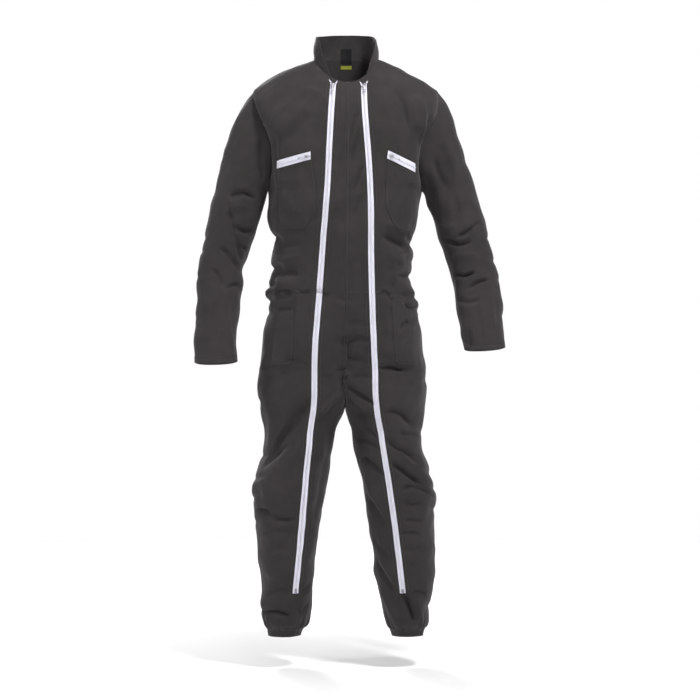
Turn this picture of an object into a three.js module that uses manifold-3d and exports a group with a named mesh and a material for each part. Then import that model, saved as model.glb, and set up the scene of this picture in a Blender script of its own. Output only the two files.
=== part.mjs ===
// A boiler suit, filled out as it is worn, with nobody in it: a hollow one-piece of cloth panels, open at the
// neck, the cuffs and the ankles. Millimetres, +Z up, the front faces -Y. Right and left are the wearer's, so
// right is at -X. The origin lies between the shoulders, at the height where the collar meets them.
import * as THREE from "three";
import { mergeVertices } from "three/addons/utils/BufferGeometryUtils.js";
import Module from "manifold-3d";

const SIDES = ["right", "left"];
const OUTWARD = { right: -1, left: 1 };

// Cloth
const CLOTH_WALL = 1.5;
const COLLAR_WALL = 2.6;
const BAND_WALL = 2.4;
const SEAM_GAP = 0.3;
const PATCH_WALL = 1.2;
const ZIP_WIDTH = 15;
const ROUNDNESS = 2.3;
const SHARED_NORMAL = 0.7;

// How finely each stretch is divided
const CENTRE_COLUMNS = 2;
const SIDE_COLUMNS = 5;
const BACK_COLUMNS = 7;
const CROTCH_COLUMNS = 3;
const COLLAR_ROWS = 4;
const HIP_ROWS = 4;
const SLEEVE_STEP = 0.5;

// The shoulder seam, from the side of the neck to the tip of the shoulder
const SHOULDER = [
  { right: -86, left: 84, y: -8, z: 15 },
  { right: -126, left: 118, y: -4, z: 0 },
  { right: -166, left: 156, y: 0, z: -18 },
  { right: -205, left: 198, y: 3, z: -39 },
  { right: -238, left: 236, y: 5, z: -64 },
];

// The armhole, from the tip of the shoulder to the armpit. Its front edge lies further in than its back edge
// by cut, and front and back are the two edges' depths.
const ARMHOLE = [
  { right: -238, left: 236, cut: 0, front: 5, back: 5, z: -64 },
  { right: -239, left: 240, cut: 2, front: -26, back: 36, z: -92 },
  { right: -231, left: 238, cut: 5, front: -47, back: 56, z: -128 },
  { right: -220, left: 226, cut: 12, front: -58, back: 67, z: -168 },
  { right: -211, left: 214, cut: 19, front: -61, back: 71, z: -208 },
  { right: -206, left: 206, cut: 18, front: -58, back: 67, z: -246 },
  { right: -203, left: 200, cut: 13, front: -47, back: 54, z: -280 },
  { right: -203, left: 199, cut: 5, front: -27, back: 31, z: -307 },
  { right: -203, left: 197, cut: 0, front: 2, back: 2, z: -324 },
];

// Centre front and centre back beside those rows, from the neck down
const YOKE = [
  { front: -76, frontZ: -49, back: 64, backZ: 20 },
  { front: -88, frontZ: -66, back: 80, backZ: 8 },
  { front: -98, frontZ: -86, back: 94, backZ: -10 },
  { front: -107, frontZ: -107, back: 105, backZ: -34 },
  { front: -115, frontZ: -130, back: 113, backZ: -64 },
  { front: -121, frontZ: -154, back: 119, backZ: -96 },
  { front: -126, frontZ: -179, back: 124, backZ: -130 },
  { front: -130, frontZ: -204, back: 127, backZ: -166 },
  { front: -133, frontZ: -230, back: 129, backZ: -203 },
  { front: -135, frontZ: -256, back: 129, backZ: -240 },
  { front: -136, frontZ: -282, back: 129, backZ: -274 },
  { front: -137, frontZ: -305, back: 128, backZ: -302 },
];

// The body below the armpit: side seams, centre front and centre back
const BODY = [
  { z: -324, right: -203, left: 197, front: -137, back: 127 },
  { z: -356, right: -201, left: 190, front: -137, back: 126 },
  { z: -388, right: -203, left: 187, front: -136, back: 124 },
  { z: -420, right: -198, left: 179, front: -134, back: 121 },
  { z: -452, right: -186, left: 171, front: -131, back: 118 },
  { z: -484, right: -190, left: 173, front: -128, back: 115 },
  { z: -514, right: -194, left: 170, front: -126, back: 113 },
  { z: -544, right: -195, left: 166, front: -124, back: 112 },
  { z: -569, right: -204, left: 166, front: -123, back: 113 },
  { z: -590, right: -211, left: 176, front: -123, back: 115 },
  { z: -620, right: -200, left: 186, front: -124, back: 119 },
  { z: -652, right: -205, left: 187, front: -126, back: 126 },
  { z: -686, right: -214, left: 193, front: -128, back: 134 },
  { z: -720, right: -218, left: 195, front: -129, back: 141 },
  { z: -754, right: -221, left: 200, front: -127, back: 146 },
  { z: -788, right: -228, left: 206, front: -121, back: 148 },
];

// Row numbers counted down from the neck
const TIP_ROW = SHOULDER.length - 1;
const ARMPIT_ROW = YOKE.length;
const WAIST_ROW = ARMPIT_ROW + 9;
const CASING_ROW = ARMPIT_ROW + 10;
const HIP_ROW = ARMPIT_ROW + BODY.length - 1;

const SIDE_SEAM_Y = 2;
const CROTCH_DROP = 75;
const LEG_TOP_Z = -960;

// The legs: outer and inner edges, front and back
const LEG_ROWS = {
  right: [
    { z: -788, outer: -228, inner: -2, front: -121, back: 148 },
    { z: -850, outer: -229, inner: -4, front: -112, back: 140 },
    { z: -905, outer: -216, inner: -20, front: -106, back: 127 },
    { z: -960, outer: -211, inner: -29, front: -102, back: 113 },
    { z: -1000, outer: -216, inner: -36, front: -100, back: 103 },
    { z: -1040, outer: -226, inner: -44, front: -99, back: 95 },
    { z: -1080, outer: -238, inner: -51, front: -100, back: 88 },
    { z: -1120, outer: -240, inner: -56, front: -99, back: 84 },
    { z: -1160, outer: -237, inner: -64, front: -95, back: 82 },
    { z: -1200, outer: -234, inner: -71, front: -90, back: 82 },
    { z: -1240, outer: -231, inner: -76, front: -85, back: 82 },
    { z: -1280, outer: -229, inner: -81, front: -81, back: 82 },
    { z: -1320, outer: -221, inner: -83, front: -77, back: 80 },
    { z: -1363, outer: -218, inner: -88, front: -73, back: 78 },
    { z: -1400, outer: -224, inner: -90, front: -71, back: 77 },
    { z: -1430, outer: -220, inner: -97, front: -67, back: 73 },
    { z: -1447, outer: -215, inner: -102, front: -61, back: 67 },
    { z: -1457, outer: -209, inner: -109, front: -52, back: 58 },
    { z: -1467, outer: -206, inner: -115, front: -47, back: 53 },
    { z: -1478, outer: -204, inner: -118, front: -45, back: 50 },
  ],
  left: [
    { z: -788, outer: 206, inner: -2, front: -121, back: 148 },
    { z: -850, outer: 207, inner: -1, front: -112, back: 140 },
    { z: -905, outer: 200, inner: 8, front: -106, back: 127 },
    { z: -960, outer: 195, inner: 16, front: -102, back: 113 },
    { z: -1000, outer: 198, inner: 23, front: -100, back: 103 },
    { z: -1040, outer: 212, inner: 34, front: -99, back: 95 },
    { z: -1080, outer: 226, inner: 44, front: -100, back: 88 },
    { z: -1120, outer: 233, inner: 50, front: -99, back: 84 },
    { z: -1160, outer: 228, inner: 56, front: -95, back: 82 },
    { z: -1200, outer: 226, inner: 62, front: -90, back: 82 },
    { z: -1240, outer: 226, inner: 68, front: -85, back: 82 },
    { z: -1280, outer: 229, inner: 70, front: -81, back: 82 },
    { z: -1320, outer: 231, inner: 73, front: -77, back: 80 },
    { z: -1363, outer: 221, inner: 85, front: -73, back: 78 },
    { z: -1400, outer: 216, inner: 94, front: -71, back: 77 },
    { z: -1430, outer: 213, inner: 101, front: -67, back: 73 },
    { z: -1447, outer: 210, inner: 107, front: -61, back: 67 },
    { z: -1457, outer: 206, inner: 112, front: -52, back: 58 },
    { z: -1467, outer: 203, inner: 116, front: -47, back: 53 },
    { z: -1478, outer: 201, inner: 119, front: -45, back: 50 },
  ],
};
const LEG_BLEND_ROW = 3;
const ZIP_END_ROW = 13;
const BAND_ROW = 17;
const BACK_CROTCH_ANGLE = THREE.MathUtils.degToRad(40);

// The sleeves, from the armhole to the cuff: the outer and the inner edge of each ring, its depth from the
// middle and where the middle lies from front to back
const SLEEVE_ROWS = {
  right: [
    { outer: -238, outerZ: -64, inner: -203, innerZ: -324, y: 4, depth: 66 },
    { outer: -277, outerZ: -116, inner: -208, innerZ: -342, y: 4, depth: 72 },
    { outer: -307, outerZ: -200, inner: -216, innerZ: -368, y: 2, depth: 71 },
    { outer: -332, outerZ: -285, inner: -229, innerZ: -407, y: 0, depth: 68 },
    { outer: -353, outerZ: -370, inner: -241, innerZ: -452, y: -4, depth: 65 },
    { outer: -368, outerZ: -445, inner: -256, innerZ: -492, y: -9, depth: 62 },
    { outer: -380, outerZ: -512, inner: -269, innerZ: -530, y: -15, depth: 60 },
    { outer: -385, outerZ: -562, inner: -269, innerZ: -568, y: -22, depth: 58 },
    { outer: -383, outerZ: -610, inner: -273, innerZ: -610, y: -31, depth: 56 },
    { outer: -386, outerZ: -655, inner: -278, innerZ: -655, y: -41, depth: 54 },
    { outer: -388, outerZ: -700, inner: -285, innerZ: -700, y: -51, depth: 52 },
    { outer: -389, outerZ: -738, inner: -284, innerZ: -738, y: -60, depth: 51 },
    { outer: -388, outerZ: -768, inner: -283, innerZ: -765, y: -67, depth: 50 },
  ],
  left: [
    { outer: 236, outerZ: -64, inner: 197, innerZ: -324, y: 4, depth: 66 },
    { outer: 270, outerZ: -116, inner: 206, innerZ: -338, y: 4, depth: 72 },
    { outer: 296, outerZ: -200, inner: 214, innerZ: -366, y: 2, depth: 71 },
    { outer: 325, outerZ: -285, inner: 230, innerZ: -405, y: 0, depth: 68 },
    { outer: 350, outerZ: -370, inner: 240, innerZ: -449, y: -5, depth: 65 },
    { outer: 371, outerZ: -442, inner: 257, innerZ: -490, y: -11, depth: 62 },
    { outer: 386, outerZ: -508, inner: 266, innerZ: -530, y: -18, depth: 60 },
    { outer: 394, outerZ: -557, inner: 273, innerZ: -566, y: -27, depth: 58 },
    { outer: 398, outerZ: -602, inner: 279, innerZ: -604, y: -38, depth: 56 },
    { outer: 401, outerZ: -640, inner: 287, innerZ: -641, y: -50, depth: 54 },
    { outer: 404, outerZ: -675, inner: 295, innerZ: -677, y: -62, depth: 52 },
    { outer: 407, outerZ: -704, inner: 301, innerZ: -708, y: -73, depth: 51 },
    { outer: 408, outerZ: -728, inner: 304, innerZ: -734, y: -82, depth: 50 },
  ],
};
const CUFF_DROP = 10;
const CUFF_DROP_ROWS = 3;
const ARMHOLE_BLEND = 2;

// The top edge of the collar, from the right front corner round the back to the left front corner
const COLLAR_TOP = [
  { x: -72, y: -50, z: 66 },
  { x: -79, y: -16, z: 73 },
  { x: -72, y: 24, z: 80 },
  { x: -44, y: 58, z: 87 },
  { x: -4, y: 71, z: 90 },
  { x: 38, y: 58, z: 87 },
  { x: 68, y: 24, z: 80 },
  { x: 77, y: -16, z: 68 },
  { x: 73, y: -52, z: 54 },
];
const COLLAR_BELLY = 4;

// Centre lines of the long zips
const LONG_ZIP = [
  { z: -30, right: -32, left: 45 },
  { z: -130, right: -38, left: 48 },
  { z: -230, right: -43, left: 56 },
  { z: -330, right: -48, left: 62 },
  { z: -450, right: -58, left: 64 },
  { z: -590, right: -68, left: 66 },
  { z: -740, right: -79, left: 72 },
  { z: -860, right: -82, left: 78 },
  { z: -950, right: -92, left: 89 },
  { z: -1090, right: -105, left: 111 },
  { z: -1230, right: -117, left: 130 },
  { z: -1365, right: -130, left: 146 },
  { z: -1478, right: -140, left: 158 },
];

// The largest folds of the front and the back: each runs from one point to another, as wide as width either
// way, and stands out by rise, or sinks in where rise is negative
const FOLDS = [
  { face: "front", x1: -104, z1: -104, x2: -176, z2: -196, width: 19, rise: 7 },
  { face: "front", x1: -92, z1: -130, x2: -158, z2: -208, width: 15, rise: -6 },
  { face: "front", x1: 138, z1: -66, x2: 158, z2: -170, width: 15, rise: -6 },
  { face: "front", x1: 176, z1: -84, x2: 182, z2: -180, width: 17, rise: 6 },
  { face: "front", x1: -186, z1: -530, x2: -120, z2: -545, width: 13, rise: -9 },
  { face: "front", x1: -186, z1: -566, x2: -130, z2: -566, width: 14, rise: 7 },
  { face: "front", x1: -184, z1: -596, x2: -140, z2: -592, width: 13, rise: -7 },
  { face: "front", x1: 92, z1: -448, x2: 166, z2: -478, width: 13, rise: -10 },
  { face: "front", x1: 96, z1: -492, x2: 160, z2: -512, width: 13, rise: 6 },
  { face: "front", x1: 100, z1: -566, x2: 168, z2: -604, width: 15, rise: -7 },
  { face: "front", x1: 88, z1: -786, x2: 196, z2: -792, width: 13, rise: -7 },
  { face: "front", x1: -4, z1: -700, x2: -3, z2: -800, width: 20, rise: -13 },
  { face: "front", x1: -88, z1: -880, x2: -200, z2: -1024, width: 24, rise: -9 },
  { face: "front", x1: -96, z1: -960, x2: -206, z2: -1090, width: 24, rise: 8 },
  { face: "front", x1: 118, z1: -890, x2: 180, z2: -930, width: 18, rise: -7 },
  { face: "front", x1: 130, z1: -1020, x2: 202, z2: -1078, width: 18, rise: -8 },
  { face: "front", x1: 150, z1: -1094, x2: 226, z2: -1112, width: 17, rise: 7 },
  { face: "front", x1: -232, z1: -1148, x2: -142, z2: -1176, width: 17, rise: -6 },
  { face: "front", x1: 150, z1: -1370, x2: 176, z2: -1440, width: 14, rise: -6 },
  { face: "back", x1: -150, z1: -150, x2: -60, z2: -260, width: 24, rise: -7 },
  { face: "back", x1: 150, z1: -140, x2: 66, z2: -240, width: 22, rise: -6 },
  { face: "back", x1: -170, z1: -520, x2: -60, z2: -548, width: 16, rise: -8 },
  { face: "back", x1: 54, z1: -540, x2: 160, z2: -506, width: 16, rise: -8 },
  { face: "back", x1: -2, z1: -720, x2: -3, z2: -790, width: 20, rise: -12 },
  { face: "back", x1: -60, z1: -880, x2: -180, z2: -960, width: 24, rise: -8 },
  { face: "back", x1: 60, z1: -886, x2: 176, z2: -970, width: 22, rise: -8 },
  { face: "back", x1: -200, z1: -1120, x2: -96, z2: -1090, width: 20, rise: -7 },
  { face: "back", x1: 90, z1: -1100, x2: 200, z2: -1136, width: 20, rise: -7 },
];

// Pieces sewn onto the panels, as outlines seen from the front, none of them hollow anywhere
const POCKET_ZIPS = {
  right: [[-176, -274], [-90, -254], [-90, -234], [-176, -254]],
  left: [[104, -251], [176, -283], [176, -261], [107, -231]],
};
const CHEST_POCKETS = {
  right: [[-88, -255], [-76, -330], [-80, -392], [-108, -430], [-160, -430], [-172, -400], [-175, -275]],
  left: [
    [106, -254], [100, -300], [101, -372], [118, -414], [140, -438], [158, -440], [170, -400], [174, -284],
  ],
};
const HIP_POCKETS = {
  right: [[-130, -606], [-138, -760], [-146, -776], [-192, -778], [-172, -606]],
  left: [[114, -606], [126, -764], [132, -776], [176, -778], [152, -606]],
};
const LABEL = [[-17, 24], [12, 24], [12, 58], [-17, 58]];
const LABEL_STRIP = [[-17, 2], [12, 2], [12, 12], [-17, 12]];

// Zip sliders and pull tabs, lying along their zips
const SLIDER = { width: 9, length: 12, height: 3.4, corner: 2.4, lift: 0.9 };
const BRIDGE = { from: -3.6, to: 2.5, height: 3.4, wall: 1.1, width: 1.8 };
const TAB = { width: 5.6, length: 23, thickness: 1.2, hole: 3.6, head: 1.2, neck: 3.4 };
const SLIDERS = [
  { name: "long", side: "right", x: -34, z: -61, downX: -0.05, downZ: -1 },
  { name: "long", side: "left", x: 46, z: -61, downX: 0.03, downZ: -1 },
  { name: "pocket", side: "right", x: -99, z: -246, downX: -0.97, downZ: -0.23 },
  { name: "pocket", side: "left", x: 115, z: -245, downX: 0.92, downZ: -0.4 },
];

const COLOURS = {
  cloth: { color: 0x403e3c, roughness: 0.92, metalness: 0 },
  zip: { color: 0xd9d8e6, roughness: 0.7, metalness: 0 },
  metal: { color: 0xe4e4ea, roughness: 0.35, metalness: 0.6 },
  label: { color: 0x141414, roughness: 0.8, metalness: 0 },
  strip: { color: 0xb6b83c, roughness: 0.8, metalness: 0 },
};

const wasm = await Module();
wasm.setup();

// A column's value at a fractional row, on a smooth curve through the rows.
function atRow(rows, key, t) {
  const last = rows.length - 1;
  const i = Math.max(0, Math.min(Math.floor(t), last - 1));
  const f = t - i;
  const value = (k) => rows[Math.max(0, Math.min(last, k))][key];
  const [a, b, c, d] = [value(i - 1), value(i), value(i + 1), value(i + 2)];
  return 0.5 * (2 * b + (c - a) * f + (2 * a - 5 * b + 4 * c - d) * f * f + (3 * b - 3 * c + d - a) * f ** 3);
}

// A column's value at a height.
function atHeight(rows, key, z) {
  let i = 0;
  while (i < rows.length - 2 && rows[i + 1].z > z) i += 1;
  return atRow(rows, key, i + (rows[i].z - z) / (rows[i].z - rows[i + 1].z));
}

function smoothstep(t) {
  const x = Math.max(0, Math.min(1, t));
  return x * x * (3 - 2 * x);
}

// A cosine or sine flattened towards a rounded rectangle.
function rounded(value) {
  return Math.sign(value) * Math.abs(value) ** (2 / ROUNDNESS);
}

function spread(from, to, count) {
  return Array.from({ length: count + 1 }, (_, i) => from + ((to - from) * i) / count);
}

function centreX(z) {
  return 4 + 0.008 * z;
}

// The yoke's rows and the body's rows as one run of centre lines.
const CENTRE = [...YOKE, ...BODY.map((r) => ({ front: r.front, frontZ: r.z, back: r.back, backZ: r.z }))];

function centrePoint(back, row) {
  const face = back ? "back" : "front";
  const z = atRow(CENTRE, face + "Z", row);
  return new THREE.Vector3(centreX(z), atRow(CENTRE, face, row), z);
}

// Where a row of the front or back ends: at the shoulder seam, the armhole or the side seam.
function edgePoint(side, back, row) {
  if (row <= TIP_ROW) {
    const [x, y, z] = [side, "y", "z"].map((column) => atRow(SHOULDER, column, row));
    return new THREE.Vector3(x, y, z);
  }
  if (row < ARMPIT_ROW) {
    const t = row - TIP_ROW;
    const cut = back ? 0 : OUTWARD[side] * atRow(ARMHOLE, "cut", t);
    const y = atRow(ARMHOLE, back ? "back" : "front", t);
    return new THREE.Vector3(atRow(ARMHOLE, side, t) - cut, y, atRow(ARMHOLE, "z", t));
  }
  const t = row - ARMPIT_ROW;
  return new THREE.Vector3(atRow(BODY, side, t), SIDE_SEAM_Y, atRow(BODY, "z", t));
}

// A point of the body above the legs, where share runs from 0 at the centre to 1 at the row's end.
function bodyPoint(side, back, row, share) {
  const centre = centrePoint(back, row);
  const edge = edgePoint(side, back, row);
  const angle = (share * Math.PI) / 2;
  const across = rounded(Math.sin(angle));
  const along = share === 1 ? 0 : rounded(Math.cos(angle));
  return new THREE.Vector3(
    THREE.MathUtils.lerp(centre.x, edge.x, across),
    THREE.MathUtils.lerp(edge.y, centre.y, along),
    THREE.MathUtils.lerp(centre.z, edge.z, Math.sin(angle) ** 2),
  );
}

// The share at which a front row crosses a line beside the long zip's centre line.
function zipShare(side, row, offset) {
  const centre = centrePoint(false, row);
  const edge = edgePoint(side, false, row);
  let share = 0.25;
  for (let i = 0; i < 8; i += 1) {
    const z = bodyPoint(side, false, row, share).z;
    const x = atHeight(LONG_ZIP, side, z) + OUTWARD[side] * offset;
    share = (Math.asin(((x - centre.x) / (edge.x - centre.x)) ** (ROUNDNESS / 2)) * 2) / Math.PI;
  }
  return share;
}

// The shares of a front row's columns: centre panel, zip, side panel.
function frontShares(side, row) {
  const inner = zipShare(side, row, -ZIP_WIDTH / 2);
  const outer = zipShare(side, row, ZIP_WIDTH / 2);
  return [...spread(0, inner, CENTRE_COLUMNS), ...spread(outer, 1, SIDE_COLUMNS)];
}

// A point of the crotch seam, where turn runs from 0 at the front to 1 at the back.
function crotchPoint(turn) {
  const front = centrePoint(false, HIP_ROW);
  const back = centrePoint(true, HIP_ROW);
  const angle = turn * Math.PI;
  const along = (1 - rounded(Math.cos(angle))) / 2;
  const drop = turn === 0 || turn === 1 ? 0 : CROTCH_DROP * rounded(Math.sin(angle));
  return new THREE.Vector3(front.x, THREE.MathUtils.lerp(front.y, back.y, along), front.z - drop);
}

function legRing(side, z) {
  const rows = LEG_ROWS[side];
  const [outer, inner] = [atHeight(rows, "outer", z), atHeight(rows, "inner", z)];
  const [front, back] = [atHeight(rows, "front", z), atHeight(rows, "back", z)];
  const [across, deep] = [(inner - outer) / 2, (back - front) / 2];
  return { x: (outer + inner) / 2, across, y: (front + back) / 2, deep };
}

// A point of a leg's ring, where the angle runs from the inner side over the front, the outer side and
// the back.
function legPoint(side, z, angle) {
  const ring = legRing(side, z);
  return new THREE.Vector3(
    ring.x + ring.across * rounded(Math.cos(angle)),
    ring.y - ring.deep * rounded(Math.sin(angle)),
    z,
  );
}

function legZipAngle(side, z, offset) {
  const ring = legRing(side, z);
  const share = (atHeight(LONG_ZIP, side, z) + OUTWARD[side] * offset - ring.x) / ring.across;
  return Math.acos(Math.sign(share) * Math.abs(share) ** (ROUNDNESS / 2));
}

// The angles of a leg's columns: from the inseam over the front to the side seam and round the back.
function legAngles(side, z) {
  const inner = legZipAngle(side, z, -ZIP_WIDTH / 2);
  const outer = legZipAngle(side, z, ZIP_WIDTH / 2);
  const backCentre = 2 * Math.PI - BACK_CROTCH_ANGLE;
  return [
    ...spread(0, inner, CROTCH_COLUMNS + CENTRE_COLUMNS),
    ...spread(outer, Math.PI, SIDE_COLUMNS),
    ...spread(Math.PI, backCentre, BACK_COLUMNS).slice(1),
    ...spread(backCentre, 2 * Math.PI, CROTCH_COLUMNS).slice(1),
  ];
}

// The ring at which a leg joins the body, one point for each of the leg's columns.
function hipRing(side) {
  const half = 0.5 / CROTCH_COLUMNS;
  const front = frontShares(side, HIP_ROW).map((share) => bodyPoint(side, false, HIP_ROW, share));
  const back = spread(1, 0, BACK_COLUMNS).map((share) => bodyPoint(side, true, HIP_ROW, share));
  const before = Array.from({ length: CROTCH_COLUMNS }, (_, i) => crotchPoint(0.5 - half * i));
  const after = Array.from({ length: CROTCH_COLUMNS }, (_, i) => crotchPoint(1 - half * (i + 1)));
  return [...before, ...front, ...back.slice(1), ...after];
}

// A leg's rows of points: four that ease out of the hip ring, then one for each row of the table.
function legGrid(side) {
  const top = hipRing(side);
  const grid = [top];
  for (let i = 1; i <= HIP_ROWS; i += 1) {
    const part = i / HIP_ROWS;
    grid.push(
      top.map((start, column) => {
        const z = THREE.MathUtils.lerp(start.z, LEG_TOP_Z, part);
        const ring = legPoint(side, z, legAngles(side, z)[column]);
        return new THREE.Vector3(start.x, start.y, z).lerp(ring, smoothstep(part));
      }),
    );
  }
  for (const { z } of LEG_ROWS[side].slice(LEG_BLEND_ROW + 1))
    grid.push(legAngles(side, z).map((angle) => legPoint(side, z, angle)));
  return grid;
}

// A sleeve point: row 0 is the armhole, and the angle runs from the outer side over the front and the armpit.
function sleevePoint(side, row, angle) {
  const rows = SLEEVE_ROWS[side];
  const ring = (t) => {
    const outer = new THREE.Vector3(atRow(rows, "outer", t), atRow(rows, "y", t), atRow(rows, "outerZ", t));
    const inner = new THREE.Vector3(atRow(rows, "inner", t), atRow(rows, "y", t), atRow(rows, "innerZ", t));
    const point = inner.clone().lerp(outer, (1 + rounded(Math.cos(angle))) / 2);
    point.y -= atRow(rows, "depth", t) * rounded(Math.sin(angle));
    return point;
  };
  const turn = angle <= Math.PI ? angle / Math.PI : 2 - angle / Math.PI;
  const armhole = edgePoint(side, angle > Math.PI, TIP_ROW + (ARMPIT_ROW - TIP_ROW) * turn);
  const point = ring(row);
  point.addScaledVector(armhole.sub(ring(0)), 1 - smoothstep(row / ARMHOLE_BLEND));
  const last = rows.length - 1;
  point.z -= CUFF_DROP * Math.abs(Math.sin(angle)) * smoothstep(1 - (last - row) / CUFF_DROP_ROWS);
  return point;
}

// A skin is the whole outside of the suit: points that panels share, and four-sided faces that belong to one
// panel each.
class Skin {
  constructor() {
    this.points = [];
    this.found = new Map();
    this.faces = [];
  }

  index(point) {
    const key = point.toArray().map((v) => Math.round(v * 50)).join();
    if (!this.found.has(key)) this.found.set(key, this.points.push(point.clone()) - 1);
    return this.found.get(key);
  }

  // Adds the cells of a grid of points to panels: name(row, column) gives the panel of a cell, or nothing.
  grid(rows, flip, name) {
    const indices = rows.map((row) => row.map((point) => this.index(point)));
    for (let r = 0; r + 1 < rows.length; r += 1)
      for (let c = 0; c + 1 < rows[r].length; c += 1) {
        const corners = [indices[r][c], indices[r][c + 1], indices[r + 1][c + 1], indices[r + 1][c]];
        const panel = name(r, c);
        if (panel) this.faces.push({ panel, corners: flip ? corners.reverse() : corners });
      }
  }

  normals() {
    return pointNormals(this.points, this.faces.map((face) => face.corners));
  }

  // Moves every point out or in by the folds that reach it.
  fold(folds) {
    const normals = this.normals();
    this.points.forEach((point, i) => {
      const normal = normals[i];
      let rise = 0;
      for (const f of folds) {
        const facing = smoothstep((f.face === "front" ? -normal.y : normal.y) * 2 - 0.3);
        rise += facing * f.rise * foldShare(f, point);
      }
      point.addScaledVector(normal, rise);
    });
  }
}

// The outward direction at each point of a sheet.
function pointNormals(points, faces) {
  const normals = points.map(() => new THREE.Vector3());
  for (const corners of faces) {
    const [a, b, c, d] = corners.map((i) => points[i]);
    const normal = new THREE.Vector3().subVectors(c, a).cross(new THREE.Vector3().subVectors(d, b));
    for (const i of corners) normals[i].add(normal);
  }
  return normals.map((n) => n.normalize());
}

// How much of a fold's rise reaches a point: all of it on the fold's line, fading beside it and at its ends.
function foldShare(fold, point) {
  const [dx, dz] = [fold.x2 - fold.x1, fold.z2 - fold.z1];
  const length = Math.hypot(dx, dz);
  const along = ((point.x - fold.x1) * dx + (point.z - fold.z1) * dz) / length;
  const beside = ((point.x - fold.x1) * dz - (point.z - fold.z1) * dx) / length;
  const past = Math.max(0, -along, along - length);
  return Math.exp(-((beside / fold.width) ** 2) - (past / fold.width) ** 2);
}

// Gathers welded points and triangles for one solid.
class Solid {
  constructor() {
    this.positions = [];
    this.indices = [];
  }

  point(vector) {
    this.positions.push(vector.x, vector.y, vector.z);
    return this.positions.length / 3 - 1;
  }

  face(corners) {
    for (let i = 2; i < corners.length; i += 1) this.indices.push(corners[0], corners[i - 1], corners[i]);
  }

  geometry() {
    const geometry = new THREE.BufferGeometry();
    geometry.setAttribute("position", new THREE.Float32BufferAttribute(this.positions, 3));
    geometry.setIndex(this.indices);
    return geometry;
  }
}

// Closes a sheet into a wall: outer and inner hold one point for each sheet point, and faces name them.
// Both sides of the wall are split along the same diagonals, so that they stay apart where the sheet twists.
function wall(faces, outer, inner) {
  const solid = new Solid();
  const outerIndex = outer.map((p) => solid.point(p));
  const innerIndex = inner.map((p) => solid.point(p));
  const open = new Map();
  for (const corners of faces) {
    solid.face(corners.map((i) => outerIndex[i]));
    solid.face([corners[0], ...corners.slice(1).reverse()].map((i) => innerIndex[i]));
    corners.forEach((a, k) => {
      const b = corners[(k + 1) % corners.length];
      if (!open.delete(b + ":" + a)) open.set(a + ":" + b, [a, b]);
    });
  }
  for (const [a, b] of open.values()) {
    solid.face([outerIndex[b], outerIndex[a], innerIndex[a], innerIndex[b]]);
  }
  return solid.geometry();
}

// The edges that only one face of a sheet uses.
function openEdges(faces) {
  const open = new Map();
  for (const corners of faces)
    corners.forEach((a, k) => {
      const b = corners[(k + 1) % corners.length];
      if (!open.delete(b + ":" + a)) open.set(a + ":" + b, [a, b]);
    });
  return [...open.values()];
}

// One panel's sheet: its own points, drawn back from its edges by half the seam gap, with the skin's normals.
// Where two panels meet nearly face to face, as in the armpits and the crotch, it keeps its own normals. Each
// face starts at a corner of its shorter diagonal, along which it is split.
function panelSheet(skin, normals, name) {
  const own = new Map();
  const apart = (i, k) => skin.points[i].distanceTo(skin.points[k]);
  const faces = skin.faces
    .filter((face) => face.panel === name)
    .map(({ corners: [a, b, c, d] }) => (apart(a, c) <= apart(b, d) ? [a, b, c, d] : [b, c, d, a]))
    .map((corners) => corners.map((i) => own.get(i) ?? own.set(i, own.size).get(i)));
  const keys = [...own.keys()];
  const points = keys.map((i) => skin.points[i].clone());
  const ownNormals = pointNormals(points, faces);
  const sheetNormals = keys.map((i, k) => {
    return normals[i].dot(ownNormals[k]) > SHARED_NORMAL ? normals[i] : ownNormals[k];
  });
  const pulls = points.map(() => []);
  for (const [a, b] of openEdges(faces)) {
    const along = new THREE.Vector3().subVectors(points[b], points[a]).normalize();
    for (const i of [a, b]) {
      pulls[i].push(new THREE.Vector3().crossVectors(sheetNormals[i], along).normalize());
    }
  }
  const drawn = points.map((point, i) => {
    if (!pulls[i].length) return point;
    const inward = pulls[i].reduce((sum, p) => sum.add(p), new THREE.Vector3()).normalize();
    const slant = Math.max(0.5, inward.dot(pulls[i][0]));
    return point.clone().addScaledVector(inward, SEAM_GAP / 2 / slant);
  });
  return { faces, points: drawn, normals: sheetNormals };
}

function panelWall(sheet, thickness) {
  const inner = sheet.points.map((p, i) => p.clone().addScaledVector(sheet.normals[i], -thickness));
  return wall(sheet.faces, sheet.points, inner);
}

// Cuts a polygon of {x, z, ...} points with the inner side of one edge of a convex outline.
function clip(polygon, [ax, az], [bx, bz]) {
  const inside = (p) => (bx - ax) * (p.point.z - az) - (bz - az) * (p.point.x - ax);
  const cut = [];
  polygon.forEach((p, i) => {
    const q = polygon[(i + 1) % polygon.length];
    const [dp, dq] = [inside(p), inside(q)];
    if (dp >= 0) cut.push(p);
    if (dp > 0 !== dq > 0 && dp !== 0 && dq !== 0) {
      const t = dp / (dp - dq);
      cut.push({ point: p.point.clone().lerp(q.point, t), normal: p.normal.clone().lerp(q.normal, t) });
    }
  });
  return cut;
}

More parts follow.
